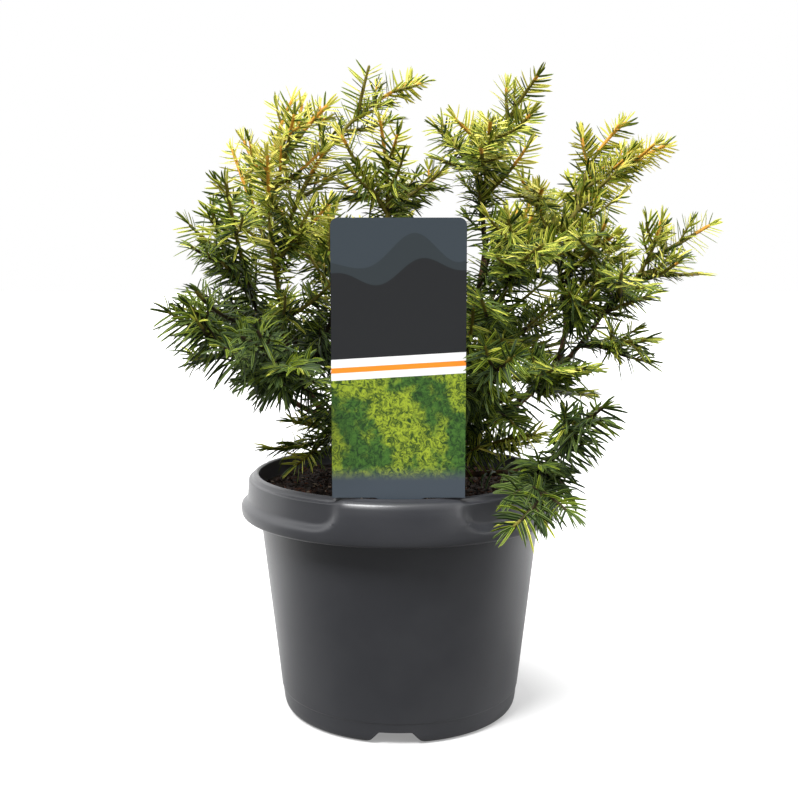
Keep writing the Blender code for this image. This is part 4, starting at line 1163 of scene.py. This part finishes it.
def press_grips(obj):
    """Draws the rim in on the left and right, where the hands take it."""
    for vert in obj.data.vertices:
        x, y, z = (value / MM for value in vert.co)
        radius = math.hypot(x, y)
        if radius < LIP_OUTER + 1.2 or z < GRIP_FOOT - 3:
            continue
        amount = grip_amount(abs(math.degrees(math.atan2(x, -y))), z)
        skin = RIM_SKIN if radius < rim_radius(z) - RIM_SKIN / 2 else 0
        inner = min(radius, GRIP_RADIUS - GRIP_TAPER * (z - GRIP_FOOT) - skin)
        wanted = radius + (max(inner, wall_radius(z) + GRIP_WALL_ROOM) - radius) * amount
        drop = GRIP_DROP * amount * smooth(z, *DROP_HEIGHTS) * smooth(radius, LIP_OUTER + 1, DROP_RADIUS)
        vert.co = (x * wanted / radius * MM, y * wanted / radius * MM, (z - drop) * MM)


def rounded(profile):
    """The profile with its corners rounded and long edges split."""
    points = [np.array(point, float) for point in profile]
    made = [points[0]]
    for before, here, after in zip(points, points[1:], points[2:]):
        first, second = before - here, after - here
        reach = min(min(np.linalg.norm(first), np.linalg.norm(second)) * 0.5, CORNER_REACH)
        start, end = here + unit(first) * reach, here + unit(second) * reach
        for share in (0, 0.25, 0.5, 0.75, 1):
            made.append(start * (1 - share) ** 2 + here * 2 * share * (1 - share) + end * share ** 2)
    made.append(points[-1])
    split = [made[0]]
    for before, here in zip(made, made[1:]):
        length = np.linalg.norm(here - before)
        longest = RIM_EDGE if here[1] > GRIP_FOOT - 6 else WALL_EDGE
        pieces = max(1, math.ceil(length / longest))
        if length >= 1e-4:
            split += [before + (here - before) * (step + 1) / pieces for step in range(pieces)]
    return split


def build_pot(look):
    mesh = bmesh.new()
    rings = []
    for radius, height in rounded(pot_profile()):
        if radius > 1e-6:
            rings.append([
                mesh.verts.new((radius * math.cos(turn) * MM, radius * math.sin(turn) * MM, height * MM))
                for turn in turns_of(POT_SPOKES)
            ])
    for first, second in zip(rings, rings[1:]):
        for index in range(POT_SPOKES):
            after = (index + 1) % POT_SPOKES
            mesh.faces.new((first[index], first[after], second[after], second[index]))
    mesh.faces.new(list(reversed(rings[0])))
    mesh.faces.new(rings[-1])
    pot = put_mesh("pot_body", mesh)
    press_grips(pot)
    bars = [channel_bar(turn) for turn in CHANNEL_TURNS]
    for bar in bars:
        cut = pot.modifiers.new("channel", "BOOLEAN")
        cut.operation, cut.solver, cut.object = "DIFFERENCE", "EXACT", bar
    graph = bpy.context.evaluated_depsgraph_get()
    made = bpy.data.meshes.new_from_object(pot.evaluated_get(graph))
    pot.modifiers.clear()
    pot.data = made
    for bar in bars:
        bpy.data.objects.remove(bar)
    made.polygons.foreach_set("use_smooth", np.full(len(made.polygons), True))
    made.set_sharp_from_angle(angle=math.radians(SHARP_ANGLE))
    made.materials.clear()
    made.materials.append(look)
    dress(pot, "pot_plastic", "pot")


def prism(rings):
    """A closed bmesh between two rings of places in mm, and its two end faces."""
    mesh = bmesh.new()
    first, second = ([mesh.verts.new([value * MM for value in place]) for place in ring] for ring in rings)
    caps = [mesh.faces.new(first), mesh.faces.new(list(reversed(second)))]
    for index in range(len(first)):
        after = (index + 1) % len(first)
        mesh.faces.new((first[after], first[index], second[index], second[after]))
    bmesh.ops.recalc_face_normals(mesh, faces=mesh.faces)
    return mesh, caps


def channel_bar(turn):
    """A bar that cuts the drain channel, reaching no deeper than the pot's floor allows."""
    half, top, height = CHANNEL_WIDTH / 2, CHANNEL_TOP_WIDTH / 2, CHANNEL_HEIGHT
    side = [(half + 6.5, -1), (half + 4.2, 0), (half + 1.6, 0.8), (half - 0.6, 2.2), (half - 2.6, 4.4)]
    side += [(top + 0.4, height - 1.0), (top - 0.5, height - 0.15), (top - 1.4, height)]
    outline = [(-width, up) for width, up in reversed(side)] + side
    cos, sin = math.cos(math.radians(turn)), math.sin(math.radians(turn))
    mesh, _ = prism([
        [(out * cos - width * sin, out * sin + width * cos, up) for width, up in outline]
        for out in (CHANNEL_START, CHANNEL_END)
    ])
    return put_mesh("channel_bar", mesh)


# Soil, in mm: the surface's rings and lumps, and the crumbs strewn on it

SOIL_RINGS, SOIL_SPOKES, SOIL_ROUND = 46, 120, 0.35
LUMP, LUMP_SIZE, SMALL_LUMP, SMALL_LUMP_SIZE, LUMP_SUNK = 0.9, 9, 0.6, 3.2, 0.3
SOIL_SKIRT = 0.126
CRUMBS, CRUMB_KINDS = 3600, (0.48, 0.32, 0.16, 0.04)
FIBRE_SHARE, FIBRE_LENGTHS, CRUMB_LENGTHS = 0.35, (0.9, 3.6), (0.6, 1.6)
CRUMB_WIDTHS, CRUMB_HEIGHTS, CRUMB_TILT, CRUMB_UNEVEN = (0.4, 1.0), (0.3, 0.7), 0.35, (0.7, 1.2)
CRUMB_POINTS = ((1, 0, 0), (0, 1, 0), (-1, 0, 0), (0, -1, 0), (0, 0, 1), (0, 0, -1))
CRUMB_FACES = ((0, 1, 4), (1, 2, 4), (2, 3, 4), (3, 0, 4), (1, 0, 5), (2, 1, 5), (3, 2, 5), (0, 3, 5))
SOIL_EDGE = wall_radius(SOIL_HEIGHT) - WALL - SOIL_ROUND


def soil_spot(radius, turn):
    """A place on the soil, in mm, at a distance and turn from the pot's axis."""
    x, y = radius * math.cos(turn), radius * math.sin(turn)
    lump = noise.noise(Vector((x, y, 3)) / LUMP_SIZE)
    lump += SMALL_LUMP * noise.noise(Vector((x, y, 9)) / SMALL_LUMP_SIZE)
    return x, y, SOIL_HEIGHT - SOIL_EDGE_DROP * (radius / SOIL_EDGE) ** 2 + LUMP * lump


def turned(corners, tilt, spin):
    """Corners turned about the Y axis and then about the Z axis."""
    cos, sin = math.cos(tilt), math.sin(tilt)
    corners = corners @ np.array([(cos, 0, sin), (0, 1, 0), (-sin, 0, cos)])
    cos, sin = math.cos(spin), math.sin(spin)
    return corners @ np.array([(cos, sin, 0), (-sin, cos, 0), (0, 0, 1)])


def grow_soil(look, crumb_looks):
    """An uneven peat surface strewn with crumbs and fibres."""
    rng = np.random.default_rng(SEED * 11)
    points, faces = [], []
    for ring in range(SOIL_RINGS + 1):
        radius = SOIL_EDGE * math.sqrt(ring / SOIL_RINGS)
        for turn in turns_of(SOIL_SPOKES):
            x, y, z = soil_spot(radius, turn)
            points.append((x * MM, y * MM, (z - LUMP_SUNK) * MM))
    for turn in turns_of(SOIL_SPOKES):
        points.append((SOIL_EDGE * math.cos(turn) * MM, SOIL_EDGE * math.sin(turn) * MM, SOIL_SKIRT))
    for ring in range(SOIL_RINGS + 1):
        for spoke in range(SOIL_SPOKES):
            here, after = (ring * SOIL_SPOKES + place % SOIL_SPOKES for place in (spoke, spoke + 1))
            faces += [(here, here + SOIL_SPOKES, after + SOIL_SPOKES), (here, after + SOIL_SPOKES, after)]
    slots = np.zeros(len(faces), int)
    surface = array_object("soil_surface", np.array(points), np.array(faces), slots, [look])
    dress(surface, "potting_soil", "soil")
    pile = Pile()
    ball, sides = np.array(CRUMB_POINTS, float), np.array(CRUMB_FACES)
    for _ in range(CRUMBS):
        radius, turn = (SOIL_EDGE - 2.5) * math.sqrt(rng.uniform()), rng.uniform(0, 2 * math.pi)
        kind = rng.choice(4, p=CRUMB_KINDS)
        length = rng.uniform(*FIBRE_LENGTHS) if rng.uniform() < FIBRE_SHARE else rng.uniform(*CRUMB_LENGTHS)
        size = np.array([length, rng.uniform(*CRUMB_WIDTHS), rng.uniform(*CRUMB_HEIGHTS)])
        spin, tilt = rng.uniform(0, 2 * math.pi), rng.normal(0, CRUMB_TILT)
        corners = ball * size * rng.uniform(*CRUMB_UNEVEN, ball.shape)
        pile.add((turned(corners, tilt, spin) + soil_spot(radius, turn)) * MM, sides, kind)
    dress(pile.object("soil_crumbs", crumb_looks, smooth=False), "potting_soil")


# Card

def build_card(look):
    """The care card with round corners, a soft edge and its foot in the soil."""
    outline = []
    for side, first in ((CARD_RIGHT, 0), (CARD_LEFT, 90)):
        middle = side + (-CARD_CORNER if side == CARD_RIGHT else CARD_CORNER)
        for step in range(CORNER_STEPS + 1):
            turn = math.radians(first + 90 / CORNER_STEPS * step)
            height = CARD_HIGH - CARD_CORNER + CARD_CORNER * math.sin(turn)
            outline.append((middle + CARD_CORNER * math.cos(turn), height))
    outline += [(CARD_LEFT, CARD_LOW), (-CARD_FOOT[0][0] - FOOT_ROUND, CARD_LOW)]
    outline += [(-half, height) for half, height in CARD_FOOT]
    outline += [(half, height) for half, height in reversed(CARD_FOOT)]
    outline += [(CARD_FOOT[0][0] + FOOT_ROUND, CARD_LOW), (CARD_RIGHT, CARD_LOW)]
    planes = (CARD_PLANE - CARD_THICK / 2, CARD_PLANE + CARD_THICK / 2)
    mesh, caps = prism([[(x, y, z) for x, z in outline] for y in planes])
    edges = [edge for cap in caps for edge in cap.edges]
    bmesh.ops.bevel(mesh, geom=edges, offset=CARD_BEVEL * MM, segments=2, affect="EDGES")
    card = put_mesh("card_sheet", mesh)
    card.data.materials.append(look)
    card.data.materials.append(plain_material("care_card_back", (0.030, 0.034, 0.038), 0.4, 0.4))
    for face in card.data.polygons:
        face.material_index = int(face.normal.y > 0.5)
    dress(card, "care_card", "care_card")


# Stage. The surround: how bright it is in front, behind and above, and where along Y and Z it grows so.
# The lamps: azimuth, elevation, strength and spread in degrees. The floor: it shines less near the pot's
# foot, so that the pot's shadow is seen there only, and throws back less light in front of the pot.

WORLD_FRONT, WORLD_BACK, WORLD_TOP = 0.12, 1.85, 0.60
BACK_FROM, TOP_FROM = (-0.55, 0.15), (0.3, 0.95)
SUNS = (
    ("key", -128, 57, 5.5, 20),
    ("fill", -30, 62, 0.9, 70),
    ("low_fill", -22, 10, 1.9, 60),
)
FLOOR_HALF, FLOOR_SHADE = 9, 0.40
GLOW_FROM, FLOOR_GLOW = (0.080, 0.134), (0.28, 0.72)
BOUNCE_FROM, FLOOR_BOUNCE = (-0.12, 0.10), (0.13, 0.55)
WHITE = (1, 1, 1, 1)


def build_stage():
    data = bpy.data.meshes.new("floor")
    corners = [(x * FLOOR_HALF, y * FLOOR_HALF, 0) for x, y in ((-1, -1), (1, -1), (1, 1), (-1, 1))]
    data.from_pydata(corners, [], [(0, 1, 2, 3)])
    floor = put("floor", data)
    look = Surface("floor_look", (FLOOR_SHADE,) * 3, 0.9, 0.1)
    look.wear(WHITE, "Emission Color")
    place = look.place()
    away = look.node("VectorMath", {0: place}, operation="LENGTH").outputs["Value"]
    look.wear(look.between(away, *GLOW_FROM, *FLOOR_GLOW), "Emission Strength")
    bounce = look.between(look.axes(place)[1], *BOUNCE_FROM, *FLOOR_BOUNCE)
    matt = look.node("BsdfDiffuse", {"Color": bounce}).outputs[0]
    rays = look.node("LightPath").outputs["Is Camera Ray"]
    seen = look.node("MixShader", {0: rays, 1: matt, 2: look.shader.outputs[0]}).outputs[0]
    look.feed(look.tree.nodes["Material Output"].inputs[0], seen)
    data.materials.append(look.material)
    build_world()
    for name, azimuth, elevation, power, spread in SUNS:
        lamp = bpy.data.lights.new(name, "SUN")
        lamp.energy, lamp.angle = power, math.radians(spread)
        turn = Vector(heading(azimuth, elevation)).to_track_quat("Z", "Y")
        put(name, lamp).rotation_euler = turn.to_euler()
    bpy.context.scene.view_settings.view_transform = "Standard"


def build_world():
    """A soft surround, brighter behind and above than in front, and white as a backdrop."""
    world = bpy.data.worlds.new("studio")
    world.use_nodes = True
    wires = Wires(world.node_tree)
    _, y, z = wires.axes(wires.place("Generated"))
    level = wires.between(y, *BACK_FROM, WORLD_FRONT, WORLD_BACK)
    high = wires.between(z, *TOP_FROM, 0, WORLD_TOP)
    soft = wires.tree.nodes["Background"]
    wires.feed(soft.inputs[0], WHITE)
    wires.feed(soft.inputs[1], wires.math("MAXIMUM", level, high))
    backdrop = wires.node("Background", {0: WHITE})
    rays = wires.node("LightPath").outputs["Is Camera Ray"]
    mix = wires.node("MixShader", {0: rays, 1: soft.outputs[0], 2: backdrop.outputs[0]})
    wires.feed(wires.tree.nodes["World Output"].inputs[0], mix.outputs[0])
    bpy.context.scene.world = world


def build_camera():
    data = bpy.data.cameras.new("camera")
    data.sensor_width = SENSOR_WIDTH
    data.lens = SENSOR_WIDTH * CAMERA_FOCAL
    data.clip_start, data.clip_end = 0.01, 60
    camera = put("camera", data)
    camera.location = CAMERA_PLACE
    camera.rotation_euler = (math.radians(90 - CAMERA_PITCH), 0, 0)
    bpy.context.scene.camera = camera


build_camera()
build_stage()
limbs = grow_limbs()
masses = grow_shoots(limbs)
needle_looks = [
    plain_material(f"{name}_needle_{part}", color, roughness, LEAF_GLOSS)
    for name, *colors in NEEDLE_TINTS
    for (part, roughness), color in zip(NEEDLE_PARTS, colors)
]
stem_looks = [plain_material(name, color, 0.6, LEAF_GLOSS) for name, color in STEM_TINTS]
crumb_looks = [plain_material(name, color, 0.9, 0.2) for name, color in CRUMB_TINTS]
build_pot(pot_material())
build_card(card_material())
grow_soil(soil_material(), crumb_looks)
grow_bark(limbs, bark_material())
grow_foliage(masses, Space(limbs, masses), needle_looks, stem_looks)
grow_bough_needles(limbs, needle_looks)
